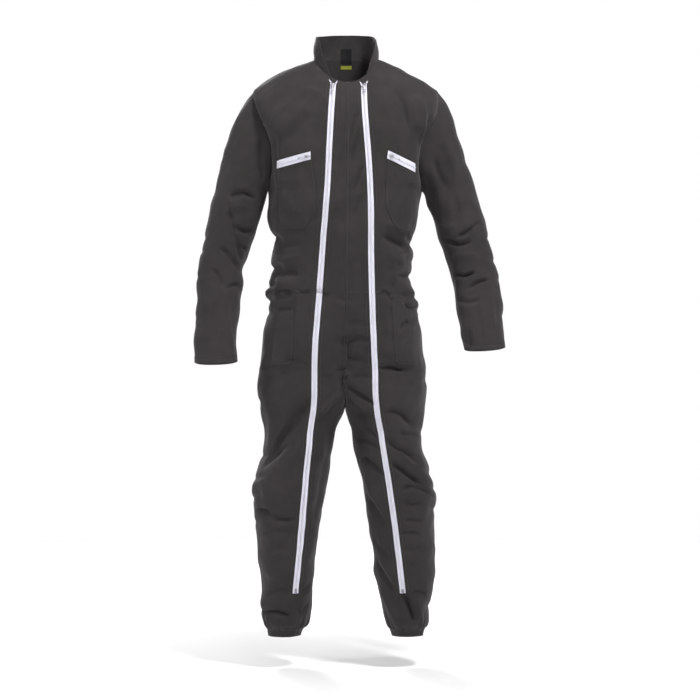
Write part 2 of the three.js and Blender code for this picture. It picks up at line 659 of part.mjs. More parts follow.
// A piece sewn onto a sheet: the sheet's own points and facets inside an outline seen from the front, moved
// out from under to over. The outline runs counterclockwise in x and z.
function sewnOn(sheet, outline, under, over) {
  const skin = new Skin();
  const normals = [];
  const facing = Math.sign(over);
  const faces = [];
  const turn = outline.reduce((sum, [x, z], i) => {
    const [nextX, nextZ] = outline[(i + 1) % outline.length];
    return sum + x * nextZ - nextX * z;
  }, 0);
  const edges = turn > 0 ? outline : [...outline].reverse();
  for (const corners of sheet.faces)
    for (const triple of [[0, 1, 2], [0, 2, 3]]) {
      let polygon = triple
        .map((k) => corners[k])
        .map((i) => ({ point: sheet.points[i], normal: sheet.normals[i] }));
      edges.forEach((from, i) => {
        polygon = clip(polygon, from, edges[(i + 1) % edges.length]);
      });
      const indices = polygon.map((p) => {
        const index = skin.index(p.point);
        normals[index] = p.normal;
        return index;
      });
      const distinct = indices.filter((index, i) => index !== indices[(i + 1) % indices.length]);
      if (distinct.length > 2) faces.push(facing > 0 ? distinct : distinct.reverse());
    }
  const moved = (distance) => skin.points.map((p, i) => p.clone().addScaledVector(normals[i], distance));
  return wall(faces, moved(over), moved(under));
}

// The frame of a small piece lying on a sheet: w out of the cloth, v along the zip, u across it.
function seatOn(sheet, { x, z, downX, downZ }) {
  let best = null;
  for (const corners of sheet.faces) {
    const middle = corners.reduce((sum, i) => sum.add(sheet.points[i]), new THREE.Vector3()).divideScalar(4);
    const distance = Math.hypot(middle.x - x, middle.z - z);
    if (sheet.normals[corners[0]].y >= 0) continue;
    if (!best || distance < best.distance) best = { corners, distance, middle };
  }
  const [a, b, c, d] = best.corners.map((i) => sheet.points[i]);
  const w = new THREE.Vector3().subVectors(c, a).cross(new THREE.Vector3().subVectors(d, b)).normalize();
  const y = best.middle.y - (w.x * (x - best.middle.x) + w.z * (z - best.middle.z)) / w.y;
  const v = new THREE.Vector3(downX, 0, downZ);
  v.addScaledVector(w, -v.dot(w)).normalize();
  const u = new THREE.Vector3().crossVectors(v, w);
  return new THREE.Matrix4().makeBasis(u, v, w).setPosition(x, y, z);
}

function solidOf(geometry) {
  const plain = geometry.clone();
  plain.deleteAttribute("normal");
  plain.deleteAttribute("uv");
  const merged = mergeVertices(plain, 1e-4);
  return new wasm.Manifold(
    new wasm.Mesh({
      numProp: 3,
      vertProperties: merged.attributes.position.array,
      triVerts: new Uint32Array(merged.index.array),
    }),
  );
}

function geometryOf(manifold) {
  const mesh = manifold.getMesh();
  const geometry = new THREE.BufferGeometry();
  geometry.setAttribute("position", new THREE.Float32BufferAttribute(mesh.vertProperties, mesh.numProp));
  geometry.setIndex(Array.from(mesh.triVerts));
  return geometry;
}

// A slider: a block with round corners and a bridge over its middle.
function sliderGeometry() {
  const { width, length, height, corner } = SLIDER;
  const plan = new THREE.Shape();
  plan.moveTo(-width / 2 + corner, -length / 2);
  plan.lineTo(width / 2 - corner, -length / 2);
  plan.quadraticCurveTo(width / 2, -length / 2, width / 2, -length / 2 + corner);
  plan.lineTo(width / 2 - corner / 3, length / 2 - corner);
  plan.quadraticCurveTo(width / 2 - corner / 3, length / 2, width / 2 - corner, length / 2);
  plan.lineTo(-width / 2 + corner, length / 2);
  plan.quadraticCurveTo(-width / 2 + corner / 3, length / 2, -width / 2 + corner / 3, length / 2 - corner);
  plan.lineTo(-width / 2, -length / 2 + corner);
  plan.quadraticCurveTo(-width / 2, -length / 2, -width / 2 + corner, -length / 2);
  const block = new THREE.ExtrudeGeometry(plan, { depth: height, bevelEnabled: false, curveSegments: 3 });
  block.translate(0, 0, SLIDER.lift);
  const top = SLIDER.lift + height;
  const arch = new THREE.Shape();
  arch.moveTo(BRIDGE.from, -0.5);
  arch.lineTo(BRIDGE.from, BRIDGE.height - BRIDGE.wall);
  arch.lineTo(BRIDGE.from + BRIDGE.wall, BRIDGE.height);
  arch.lineTo(BRIDGE.to - BRIDGE.wall, BRIDGE.height);
  arch.lineTo(BRIDGE.to, BRIDGE.height - BRIDGE.wall);
  arch.lineTo(BRIDGE.to, -0.5);
  arch.lineTo(BRIDGE.to - BRIDGE.wall, -0.5);
  arch.lineTo(BRIDGE.to - BRIDGE.wall, BRIDGE.height - BRIDGE.wall);
  arch.lineTo(BRIDGE.from + BRIDGE.wall, BRIDGE.height - BRIDGE.wall);
  arch.lineTo(BRIDGE.from + BRIDGE.wall, -0.5);
  const bridge = new THREE.ExtrudeGeometry(arch, { depth: BRIDGE.width, bevelEnabled: false });
  bridge.translate(0, 0, -BRIDGE.width / 2);
  const [along, up, across] = [[0, 1, 0], [0, 0, 1], [1, 0, 0]].map((a) => new THREE.Vector3(...a));
  bridge.applyMatrix4(new THREE.Matrix4().makeBasis(along, up, across));
  bridge.translate(0, 0, top);
  return geometryOf(solidOf(block).add(solidOf(bridge)));
}

// The hinge of a pull tab: the bar at its head, under the bridge.
const HINGE_V = BRIDGE.to - BRIDGE.wall - TAB.head / 2 - 0.35;
const HINGE_W = SLIDER.lift + SLIDER.height + (BRIDGE.height - BRIDGE.wall) / 2;

// A pull tab: a flat pin with a hole at its head, drawn from its hinge.
function tabGeometry() {
  const { width, length, thickness, hole, head, neck } = TAB;
  const plan = new THREE.Shape();
  plan.moveTo(-width / 2, -head / 2);
  plan.lineTo(width / 2, -head / 2);
  plan.lineTo(width / 2, head / 2 + hole);
  plan.lineTo(neck / 2, head / 2 + hole + neck);
  plan.lineTo(neck / 2, length - width);
  plan.lineTo(width / 2, length - width / 2);
  plan.quadraticCurveTo(width / 2, length, 0, length);
  plan.quadraticCurveTo(-width / 2, length, -width / 2, length - width / 2);
  plan.lineTo(-neck / 2, length - width);
  plan.lineTo(-neck / 2, head / 2 + hole + neck);
  plan.lineTo(-width / 2, head / 2 + hole);
  const slot = new THREE.Path();
  const half = BRIDGE.width / 2 + 0.4;
  slot.moveTo(-half, head / 2);
  slot.lineTo(half, head / 2);
  slot.lineTo(half, head / 2 + hole);
  slot.lineTo(-half, head / 2 + hole);
  plan.holes.push(slot);
  const form = { depth: thickness, bevelEnabled: false, curveSegments: 4 };
  const geometry = new THREE.ExtrudeGeometry(plan, form);
  return geometry.translate(0, 0, -thickness / 2);
}

function meshOf(name, geometry, finish) {
  const mesh = new THREE.Mesh(geometry, new THREE.MeshStandardMaterial(COLOURS[finish]));
  mesh.name = name;
  return mesh;
}

// The body's rows of points on one side, front or back.
function bodyGrid(side, back) {
  return Array.from({ length: HIP_ROW + 1 }, (_, row) => {
    const shares = back ? spread(0, 1, BACK_COLUMNS) : frontShares(side, row);
    return shares.map((share) => bodyPoint(side, back, row, share));
  });
}

function addBody(skin, side) {
  skin.grid(bodyGrid(side, false), side === "left", (row, column) => {
    if (column === CENTRE_COLUMNS) return "long_zip_" + side;
    if (column < CENTRE_COLUMNS) return (row < WAIST_ROW ? "centre_front_" : "inner_leg_front_") + side;
    return (row < WAIST_ROW ? "side_front_" : "outer_leg_front_") + side;
  });
  skin.grid(bodyGrid(side, true), side === "right", (row) => {
    if (row < WAIST_ROW) return "upper_back";
    return row < CASING_ROW ? "waist_casing" : "leg_back_" + side;
  });
}

function addLeg(skin, side) {
  const zipColumn = CROTCH_COLUMNS + CENTRE_COLUMNS;
  const sideSeam = zipColumn + 1 + SIDE_COLUMNS;
  const tableRow = (row) => row - HIP_ROWS + LEG_BLEND_ROW;
  skin.grid(legGrid(side), side === "left", (row, column) => {
    if (tableRow(row) >= BAND_ROW) return "ankle_band_" + side;
    if (column < zipColumn) return "inner_leg_front_" + side;
    if (column === zipColumn && tableRow(row) < ZIP_END_ROW) return "long_zip_" + side;
    return (column < sideSeam ? "outer_leg_front_" : "leg_back_") + side;
  });
}

function addSleeve(skin, side) {
  const columns = 2 * (ARMPIT_ROW - TIP_ROW);
  const rows = (SLEEVE_ROWS[side].length - 1) / SLEEVE_STEP;
  const turns = Array.from({ length: columns + 1 }, (_, c) => (2 * Math.PI * (c % columns)) / columns);
  const grid = spread(0, SLEEVE_ROWS[side].length - 1, rows).map((row) =>
    turns.map((turn) => sleevePoint(side, row, turn)),
  );
  skin.grid(grid, side === "right", () => "sleeve_" + side);
}

// The collar stands on the neckline from one long zip round the back to the other.
function addCollar(skin) {
  const front = (side) => frontShares(side, 0).slice(CENTRE_COLUMNS + 1);
  const half = (side) => [
    ...front(side).map((share) => bodyPoint(side, false, 0, share)),
    ...spread(1, 0, BACK_COLUMNS).slice(1).map((share) => bodyPoint(side, true, 0, share)),
  ];
  const base = [...half("right"), ...half("left").reverse().slice(1)];
  const quarter = [...spread(0, 2, SIDE_COLUMNS), ...spread(2, 4, BACK_COLUMNS).slice(1)];
  const places = [...quarter, ...quarter.map((t) => 8 - t).reverse().slice(1)];
  const grid = spread(0, 1, COLLAR_ROWS).map((part) =>
    base.map((foot, i) => {
      const top = new THREE.Vector3(...["x", "y", "z"].map((key) => atRow(COLLAR_TOP, key, places[i])));
      const point = foot.clone().lerp(top, part);
      const out = new THREE.Vector3(point.x, point.y, 0).normalize();
      return point.addScaledVector(out, COLLAR_BELLY * Math.sin(Math.PI * part));
    }),
  );
  skin.grid(grid, true, () => "collar");
}

function makeSkin() {
  const skin = new Skin();
  for (const side of SIDES) {
    addBody(skin, side);
    addLeg(skin, side);
    addSleeve(skin, side);
  }
  addCollar(skin);
  skin.fold(FOLDS);
  return skin;
}

const suit = new THREE.Group();
const skin = makeSkin();
const skinNormals = skin.normals();
const sheets = {};
for (const name of new Set(skin.faces.map((face) => face.panel))) {
  sheets[name] = panelSheet(skin, skinNormals, name);
  const thickness = name === "collar" ? COLLAR_WALL : name.startsWith("ankle") ? BAND_WALL : CLOTH_WALL;
  const finish = name.startsWith("long_zip") ? "zip" : "cloth";
  suit.add(meshOf(name, panelWall(sheets[name], thickness), finish));
}

// What is sewn onto the panels
for (const side of SIDES) {
  const chest = sheets["side_front_" + side];
  const hip = sheets["outer_leg_front_" + side];
  const [under, over] = [SEAM_GAP, SEAM_GAP + PATCH_WALL];
  suit.add(meshOf("chest_pocket_" + side, sewnOn(chest, CHEST_POCKETS[side], under, over), "cloth"));
  suit.add(meshOf("pocket_zip_" + side, sewnOn(chest, POCKET_ZIPS[side], under, over), "zip"));
  suit.add(meshOf("hip_pocket_" + side, sewnOn(hip, HIP_POCKETS[side], under, over), "cloth"));
}

// The label on the collar's inner face, and the strip under it on the back's inner face
const insideOf = (thickness) => [-thickness - SEAM_GAP, -thickness - SEAM_GAP - 1];
suit.add(meshOf("neck_label", sewnOn(sheets.collar, LABEL, ...insideOf(COLLAR_WALL)), "label"));
suit.add(meshOf("label_strip", sewnOn(sheets.upper_back, LABEL_STRIP, ...insideOf(CLOTH_WALL)), "strip"));

// Sliders lie on their zips, and each pull tab turns on the bar at its head
for (const place of SLIDERS) {
  const long = place.name === "long";
  const frame = seatOn(sheets[(long ? "long_zip_" : "side_front_") + place.side], place);
  if (!long) frame.multiply(new THREE.Matrix4().makeTranslation(0, 0, SEAM_GAP + PATCH_WALL));
  const holder = new THREE.Group();
  frame.decompose(holder.position, holder.quaternion, holder.scale);
  holder.add(meshOf(place.name + "_slider_" + place.side, sliderGeometry(), "metal"));
  const tab = meshOf(place.name + "_pull_" + place.side, tabGeometry(), "metal");
  tab.position.set(0, HINGE_V, HINGE_W);
  holder.add(tab);
  suit.add(holder);
}

export default suit;
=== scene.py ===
"""Dresses the boiler suit: cloth with folds and seams, zips with teeth, sliders, labels and stitches.

The suit stands as it is worn, with nobody in it. Sizes are millimetres, like the solids they repeat, and
every mesh is turned into metres as it is made. Right and left are the wearer's, so right is at -X, and
the front faces -Y.
"""
from __future__ import annotations

import logging
import math
from dataclasses import dataclass, field
from enum import Enum
from typing import Callable, Iterable

import bmesh
import bpy
import numpy as np
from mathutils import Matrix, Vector
from mathutils.bvhtree import BVHTree


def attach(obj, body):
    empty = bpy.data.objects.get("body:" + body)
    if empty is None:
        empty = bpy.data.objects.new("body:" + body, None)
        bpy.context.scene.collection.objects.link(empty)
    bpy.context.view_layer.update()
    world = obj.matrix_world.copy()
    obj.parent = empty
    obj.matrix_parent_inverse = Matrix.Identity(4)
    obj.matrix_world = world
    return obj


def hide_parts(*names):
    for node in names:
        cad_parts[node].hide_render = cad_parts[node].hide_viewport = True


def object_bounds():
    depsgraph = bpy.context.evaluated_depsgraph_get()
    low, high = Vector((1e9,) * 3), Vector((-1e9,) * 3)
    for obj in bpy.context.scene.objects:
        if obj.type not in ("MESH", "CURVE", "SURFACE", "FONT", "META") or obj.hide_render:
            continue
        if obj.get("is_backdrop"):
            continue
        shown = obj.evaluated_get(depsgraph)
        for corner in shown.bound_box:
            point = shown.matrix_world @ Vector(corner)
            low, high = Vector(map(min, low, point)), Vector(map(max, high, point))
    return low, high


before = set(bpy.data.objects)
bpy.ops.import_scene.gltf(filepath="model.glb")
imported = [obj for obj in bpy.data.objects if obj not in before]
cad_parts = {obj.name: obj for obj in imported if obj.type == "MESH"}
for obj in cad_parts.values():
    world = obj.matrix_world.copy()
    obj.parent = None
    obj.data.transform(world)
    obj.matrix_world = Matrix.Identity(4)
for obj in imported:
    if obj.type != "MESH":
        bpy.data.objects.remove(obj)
CAD_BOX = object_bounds()

LOG = logging.getLogger("boiler_suit")
MM = 0.001
SIDES = ("right", "left")
OUTWARD = {"right": -1.0, "left": 1.0}

CLOTH_WALL = 1.5
COLLAR_WALL = 2.6
BAND_WALL = 2.4
FACING_WALL = 1.2
FACING_START = 38
FACING_ROWS = 12
FACING_DROP = 52.0
SEAM_GAP = 0.3
ZIP_WIDTH = 15.0
ROUNDNESS = 2.3

CENTRE_COLUMNS = 14
ZIP_COLUMNS = 3
SIDE_COLUMNS = 45
BACK_COLUMNS = 56
CROTCH_COLUMNS = 21
ROW_STEPS = 5
HIP_ROWS = 28
LEG_STEPS = 7
SLEEVE_STEPS = 12
COLLAR_ROWS = 14
FOLD_STEPS = 6
WELD_STEPS = 50


class Table:
    """Rows of named numbers with smooth curves through them."""

    def __init__(self, columns: str, rows: Iterable[tuple[float, ...]]) -> None:
        """Keeps each column as an array.

        Args:
            columns: The columns' names, split by spaces.
            rows: One tuple of numbers for each row.
        """
        values = np.array(list(rows), float)
        self.columns = {name: values[:, i] for i, name in enumerate(columns.split())}
        self.count = len(values)

    def at(self, name: str, row: np.ndarray | float) -> np.ndarray:
        """Reads a column at fractional rows.

        Args:
            name: The column.
            row: Row numbers, counted from 0.

        Returns:
            The values on a smooth curve through the rows.
        """
        values = self.columns[name]
        last = self.count - 1
        row = np.asarray(row, float)
        i = np.clip(np.floor(row).astype(int), 0, last - 1)
        f = row - i
        a, b, c, d = (values[np.clip(i + k, 0, last)] for k in (-1, 0, 1, 2))
        square, cube = 2 * a - 5 * b + 4 * c - d, 3 * b - 3 * c + d - a
        return 0.5 * (2 * b + (c - a) * f + square * f**2 + cube * f**3)

    def row_at(self, z: np.ndarray | float) -> np.ndarray:
        """Finds the fractional rows at heights.

        Args:
            z: Heights in millimetres.

        Returns:
            Row numbers in the table, whose heights fall from row to row.
        """
        heights = self.columns["z"]
        z = np.asarray(z, float)
        i = np.clip(np.searchsorted(-heights[1:], -z, side="left"), 0, self.count - 2)
        return i + (heights[i] - z) / (heights[i] - heights[i + 1])

    def at_height(self, name: str, z: np.ndarray | float) -> np.ndarray:
        """Reads a column at heights in millimetres."""
        return self.at(name, self.row_at(z))


SHOULDER = Table("right left y z", [
    (-86, 84, -8, 15),
    (-126, 118, -4, 0),
    (-166, 156, 0, -18),
    (-205, 198, 3, -39),
    (-238, 236, 5, -64),
])
ARMHOLE = Table("right left cut front back z", [
    (-238, 236, 0, 5, 5, -64),
    (-239, 240, 2, -26, 36, -92),
    (-231, 238, 5, -47, 56, -128),
    (-220, 226, 12, -58, 67, -168),
    (-211, 214, 19, -61, 71, -208),
    (-206, 206, 18, -58, 67, -246),
    (-203, 200, 13, -47, 54, -280),
    (-203, 199, 5, -27, 31, -307),
    (-203, 197, 0, 2, 2, -324),
])
YOKE_ROWS = [
    (-76, -49, 64, 20),
    (-88, -66, 80, 8),
    (-98, -86, 94, -10),
    (-107, -107, 105, -34),
    (-115, -130, 113, -64),
    (-121, -154, 119, -96),
    (-126, -179, 124, -130),
    (-130, -204, 127, -166),
    (-133, -230, 129, -203),
    (-135, -256, 129, -240),
    (-136, -282, 129, -274),
    (-137, -305, 128, -302),
]
BODY_ROWS = [
    (-324, -203, 197, -137, 127),
    (-356, -201, 190, -137, 126),
    (-388, -203, 187, -136, 124),
    (-420, -198, 179, -134, 121),
    (-452, -186, 171, -131, 118),
    (-484, -190, 173, -128, 115),
    (-514, -194, 170, -126, 113),
    (-544, -195, 166, -124, 112),
    (-569, -204, 166, -123, 113),
    (-590, -211, 176, -123, 115),
    (-620, -200, 186, -124, 119),
    (-652, -205, 187, -126, 126),
    (-686, -214, 193, -128, 134),
    (-720, -218, 195, -129, 141),
    (-754, -221, 200, -127, 146),
    (-788, -228, 206, -121, 148),
]
BODY = Table("z right left front back", BODY_ROWS)
CENTRE = Table("front frontZ back backZ", YOKE_ROWS + [(f, z, b, z) for z, _, _, f, b in BODY_ROWS])

TIP_ROW = 4
ARMPIT_ROW = len(YOKE_ROWS)
WAIST_ROW = ARMPIT_ROW + 9
CASING_ROW = ARMPIT_ROW + 10
HIP_ROW = ARMPIT_ROW + len(BODY_ROWS) - 1
CENTRE_X = 4.0
CENTRE_TILT = 0.008
SIDE_SEAM_Y = 2.0
CROTCH_DROP = 75.0
LEG_TOP_Z = -960.0
FIRST_SHARE = 0.25
SHARE_STEPS = 8

LEGS = {
    "right": Table("z outer inner front back", [
        (-788, -228, -2, -121, 148),
        (-850, -229, -4, -112, 140),
        (-905, -216, -20, -106, 127),
        (-960, -211, -29, -102, 113),
        (-1000, -216, -36, -100, 103),
        (-1040, -226, -44, -99, 95),
        (-1080, -238, -51, -100, 88),
        (-1120, -240, -56, -99, 84),
        (-1160, -237, -64, -95, 82),
        (-1200, -234, -71, -90, 82),
        (-1240, -231, -76, -85, 82),
        (-1280, -229, -81, -81, 82),
        (-1320, -221, -83, -77, 80),
        (-1363, -218, -88, -73, 78),
        (-1400, -224, -90, -71, 77),
        (-1430, -220, -97, -67, 73),
        (-1447, -215, -102, -61, 67),
        (-1457, -209, -109, -52, 58),
        (-1467, -206, -115, -47, 53),
        (-1478, -204, -118, -45, 50),
    ]),
    "left": Table("z outer inner front back", [
        (-788, 206, -2, -121, 148),
        (-850, 207, -1, -112, 140),
        (-905, 200, 8, -106, 127),
        (-960, 195, 16, -102, 113),
        (-1000, 198, 23, -100, 103),
        (-1040, 212, 34, -99, 95),
        (-1080, 226, 44, -100, 88),
        (-1120, 233, 50, -99, 84),
        (-1160, 228, 56, -95, 82),
        (-1200, 226, 62, -90, 82),
        (-1240, 226, 68, -85, 82),
        (-1280, 229, 70, -81, 82),
        (-1320, 231, 73, -77, 80),
        (-1363, 221, 85, -73, 78),
        (-1400, 216, 94, -71, 77),
        (-1430, 213, 101, -67, 73),
        (-1447, 210, 107, -61, 67),
        (-1457, 206, 112, -52, 58),
        (-1467, 203, 116, -47, 53),
        (-1478, 201, 119, -45, 50),
    ]),
}
LEG_BLEND_ROW = 3
ZIP_END_ROW = 13
BAND_ROW = 17
BAND_Z = -1457.0
HEM_Z = -1478.0
ANKLE_GATHER_Z = -1340.0
WAIST_Z = -590.0
CASING_Z = -620.0
BACK_CROTCH_ANGLE = math.radians(40)

# Rows and columns of the skin's grids, at which its panels meet
TIP, ARMPIT, WAIST, CASING = (row * ROW_STEPS for row in (TIP_ROW, ARMPIT_ROW, WAIST_ROW, CASING_ROW))
ZIP_END, BAND = (HIP_ROWS + (row - LEG_BLEND_ROW) * LEG_STEPS for row in (ZIP_END_ROW, BAND_ROW))
SIDE_FRONT = CENTRE_COLUMNS + ZIP_COLUMNS
LEG_ZIP = CROTCH_COLUMNS + CENTRE_COLUMNS
LEG_SIDE_SEAM = LEG_ZIP + ZIP_COLUMNS + SIDE_COLUMNS

SLEEVE_COLUMNS = "outer outerZ inner innerZ y depth"
SLEEVES = {
    "right": Table(SLEEVE_COLUMNS, [
        (-238, -64, -203, -324, 4, 66),
        (-277, -116, -208, -342, 4, 72),
        (-307, -200, -216, -368, 2, 71),
        (-332, -285, -229, -407, 0, 68),
        (-353, -370, -241, -452, -4, 65),
        (-368, -445, -256, -492, -9, 62),
        (-380, -512, -269, -530, -15, 60),
        (-385, -562, -269, -568, -22, 58),
        (-383, -610, -273, -610, -31, 56),
        (-386, -655, -278, -655, -41, 54),
        (-388, -700, -285, -700, -51, 52),
        (-389, -738, -284, -738, -60, 51),
        (-388, -768, -283, -765, -67, 50),
    ]),
    "left": Table(SLEEVE_COLUMNS, [
        (236, -64, 197, -324, 4, 66),
        (270, -116, 206, -338, 4, 72),
        (296, -200, 214, -366, 2, 71),
        (325, -285, 230, -405, 0, 68),
        (350, -370, 240, -449, -5, 65),
        (371, -442, 257, -490, -11, 62),
        (386, -508, 266, -530, -18, 60),
        (394, -557, 273, -566, -27, 58),
        (398, -602, 279, -604, -38, 56),
        (401, -640, 287, -641, -50, 54),
        (404, -675, 295, -677, -62, 52),
        (407, -704, 301, -708, -73, 51),
        (408, -728, 304, -734, -82, 50),
    ]),
}
CUFF_DROP = 10.0
CUFF_DROP_ROWS = 3.0
ARMHOLE_BLEND = 2.0

COLLAR_TOP = Table("x y z", [
    (-72, -50, 66),
    (-79, -16, 73),
    (-72, 24, 80),
    (-44, 58, 87),
    (-4, 71, 90),
    (38, 58, 87),
    (68, 24, 80),
    (77, -16, 68),
    (73, -52, 54),
])
COLLAR_BELLY = 4.0

LONG_ZIP = Table("z right left", [
    (-30, -32, 45),
    (-130, -38, 48),
    (-230, -43, 56),
    (-330, -48, 62),
    (-450, -58, 64),
    (-590, -68, 66),
    (-740, -79, 72),
    (-860, -82, 78),
    (-950, -92, 89),
    (-1090, -105, 111),
    (-1230, -117, 130),
    (-1365, -130, 146),
    (-1478, -140, 158),
])

Outline = list[tuple[float, float]]
POCKET_ZIPS: dict[str, Outline] = {
    "right": [(-176, -274), (-90, -254), (-90, -234), (-176, -254)],
    "left": [(104, -251), (176, -283), (176, -261), (107, -231)],
}
CHEST_POCKETS: dict[str, Outline] = {
    "right": [(-88, -255), (-76, -330), (-80, -392), (-108, -430), (-160, -430), (-172, -400),
              (-175, -275)],
    "left": [(106, -254), (100, -300), (101, -372), (118, -414), (140, -438), (158, -440), (170, -400),
             (174, -284)],
}
HIP_POCKETS: dict[str, Outline] = {
    "right": [(-130, -606), (-138, -760), (-146, -776), (-192, -778), (-172, -606)],
    "left": [(114, -606), (126, -764), (132, -776), (176, -778), (152, -606)],
}
LABEL: Outline = [(-14.5, 13), (14.5, 13), (14.5, 53), (-14.5, 53)]
LABEL_STRIP: Outline = [(-14.5, -1), (14.5, -1), (14.5, 8), (-14.5, 8)]
TAPE_REACH = 12.0
ZIP_TOPS = {"right": (-50.0, -56.0, -54.0), "left": (-53.0, -57.0, -55.0)}


def smoothstep(t: np.ndarray | float) -> np.ndarray:
    """Eases from 0 to 1."""
    x = np.clip(t, 0.0, 1.0)
    return x * x * (3 - 2 * x)


def rounded(value: np.ndarray | float) -> np.ndarray:
    """Flattens a cosine or a sine towards a rounded rectangle."""
    return np.sign(value) * np.abs(value) ** (2 / ROUNDNESS)


def lerp(a: np.ndarray, b: np.ndarray, t: np.ndarray | float) -> np.ndarray:
    """Goes from a to b as t goes from 0 to 1."""
    return a + (b - a) * t


def stack(*parts: np.ndarray | float) -> np.ndarray:
    """Puts coordinates together as points in the last axis."""
    return np.stack(np.broadcast_arrays(*parts), axis=-1).astype(float)


def unit(vectors: np.ndarray) -> np.ndarray:
    """Brings vectors to length 1."""
    return vectors / np.maximum(np.linalg.norm(vectors, axis=-1, keepdims=True), 1e-12)


class Form:
    """The worn form of the suit: where each point of its cloth lies before any fold."""

    @staticmethod
    def centre(back: bool, row: np.ndarray) -> np.ndarray:
        """Gives points of the centre front or centre back, row by row from the neck."""
        face = "back" if back else "front"
        z = CENTRE.at(face + "Z", row)
        return stack(CENTRE_X + CENTRE_TILT * z, CENTRE.at(face, row), z)

    @staticmethod
    def edge(side: str, back: np.ndarray | bool, row: np.ndarray) -> np.ndarray:
        """Gives where rows end: at the shoulder seam, the armhole or the side seam.

        Args:
            side: The wearer's side.
            back: Whether the row is on the back.
            row: Row numbers from the neck down.

        Returns:
            Points in millimetres.
        """
        row = np.asarray(row, float)
        shoulder = stack(SHOULDER.at(side, row), SHOULDER.at("y", row), SHOULDER.at("z", row))
        t = row - TIP_ROW
        cut = np.where(back, 0.0, OUTWARD[side] * ARMHOLE.at("cut", t))
        depth = np.where(back, ARMHOLE.at("back", t), ARMHOLE.at("front", t))
        armhole = stack(ARMHOLE.at(side, t) - cut, depth, ARMHOLE.at("z", t))
        t = row - ARMPIT_ROW
        seam = stack(BODY.at(side, t), SIDE_SEAM_Y, BODY.at("z", t))
        row = row[..., None]
        return np.where(row <= TIP_ROW, shoulder, np.where(row < ARMPIT_ROW, armhole, seam))

    @classmethod
    def body(cls, side: str, back: bool, row: np.ndarray, share: np.ndarray) -> np.ndarray:
        """Gives points of the body above the legs.

        Args:
            side: The wearer's side.
            back: Whether the points are on the back.
            row: Row numbers from the neck down.
            share: 0 at the centre and 1 at the row's end.

        Returns:
            Points in millimetres.
        """
        row, share = np.broadcast_arrays(np.asarray(row, float), np.asarray(share, float))
        centre, edge = cls.centre(back, row), cls.edge(side, back, row)
        angle = share * math.pi / 2
        across, along = rounded(np.sin(angle)), rounded(np.cos(angle))
        return stack(
            lerp(centre[..., 0], edge[..., 0], across),
            lerp(edge[..., 1], centre[..., 1], along),
            lerp(centre[..., 2], edge[..., 2], np.sin(angle) ** 2),
        )

    @classmethod
    def zip_share(cls, side: str, row: np.ndarray, offset: float) -> np.ndarray:
        """Finds the shares at which front rows cross a line beside the long zip's centre line."""
        centre, edge = cls.centre(False, row), cls.edge(side, False, row)
        share = np.full(np.shape(row), FIRST_SHARE)
        for _ in range(SHARE_STEPS):
            z = cls.body(side, False, row, share)[..., 2]
            x = LONG_ZIP.at_height(side, z) + OUTWARD[side] * offset
            part = (x - centre[..., 0]) / (edge[..., 0] - centre[..., 0])
            share = np.arcsin(part ** (ROUNDNESS / 2)) * 2 / math.pi
        return share

    @classmethod
    def front_shares(cls, side: str, row: np.ndarray) -> np.ndarray:
        """Gives the shares of a front row's columns: centre panel, zip, side panel."""
        inner = np.asarray(cls.zip_share(side, row, -ZIP_WIDTH / 2))[..., None]
        outer = np.asarray(cls.zip_share(side, row, ZIP_WIDTH / 2))[..., None]
        centre = inner * np.linspace(0, 1, CENTRE_COLUMNS + 1)[:-1]
        tape = lerp(inner, outer, np.linspace(0, 1, ZIP_COLUMNS + 1)[:-1])
        return np.concatenate([centre, tape, lerp(outer, 1.0, np.linspace(0, 1, SIDE_COLUMNS + 1))], axis=-1)

    @classmethod
    def crotch(cls, turn: np.ndarray) -> np.ndarray:
        """Gives points of the crotch seam, where turn runs from 0 at the front to 1 at the back."""
        front, back = cls.centre(False, HIP_ROW), cls.centre(True, HIP_ROW)
        angle = turn * math.pi
        along = (1 - rounded(np.cos(angle))) / 2
        drop = CROTCH_DROP * rounded(np.maximum(np.sin(angle), 0))
        return stack(front[0], lerp(front[1], back[1], along), front[2] - drop)

    @staticmethod
    def leg_ring(side: str, z: np.ndarray) -> tuple[np.ndarray, np.ndarray, np.ndarray, np.ndarray]:
        """Gives the middle x, half width, middle y and half depth of a leg at heights."""
        names = ("outer", "inner", "front", "back")
        outer, inner, front, back = (LEGS[side].at_height(name, z) for name in names)
        return (outer + inner) / 2, (inner - outer) / 2, (front + back) / 2, (back - front) / 2

    @classmethod
    def leg(cls, side: str, z: np.ndarray, angle: np.ndarray) -> np.ndarray:
        """Gives points of a leg, where the angle runs from the inner side over the front."""
        x, across, y, deep = cls.leg_ring(side, z)
        return stack(x + across * rounded(np.cos(angle)), y - deep * rounded(np.sin(angle)), z)

    @classmethod
    def leg_angles(cls, side: str, z: np.ndarray) -> np.ndarray:
        """Gives the angles of a leg's columns at heights.

        Args:
            side: The wearer's side.
            z: Heights, one for all columns or one for each of them in the last axis.

        Returns:
            Angles with the columns in the last axis, from the inseam over the front and the side seam.
        """
        x, across, _, _ = cls.leg_ring(side, z)

        def beside(offset: float) -> np.ndarray:
            """Gives the angle of a line beside the zip's centre line."""
            share = (LONG_ZIP.at_height(side, z) + OUTWARD[side] * offset - x) / across
            return np.arccos(np.sign(share) * np.abs(share) ** (ROUNDNESS / 2))

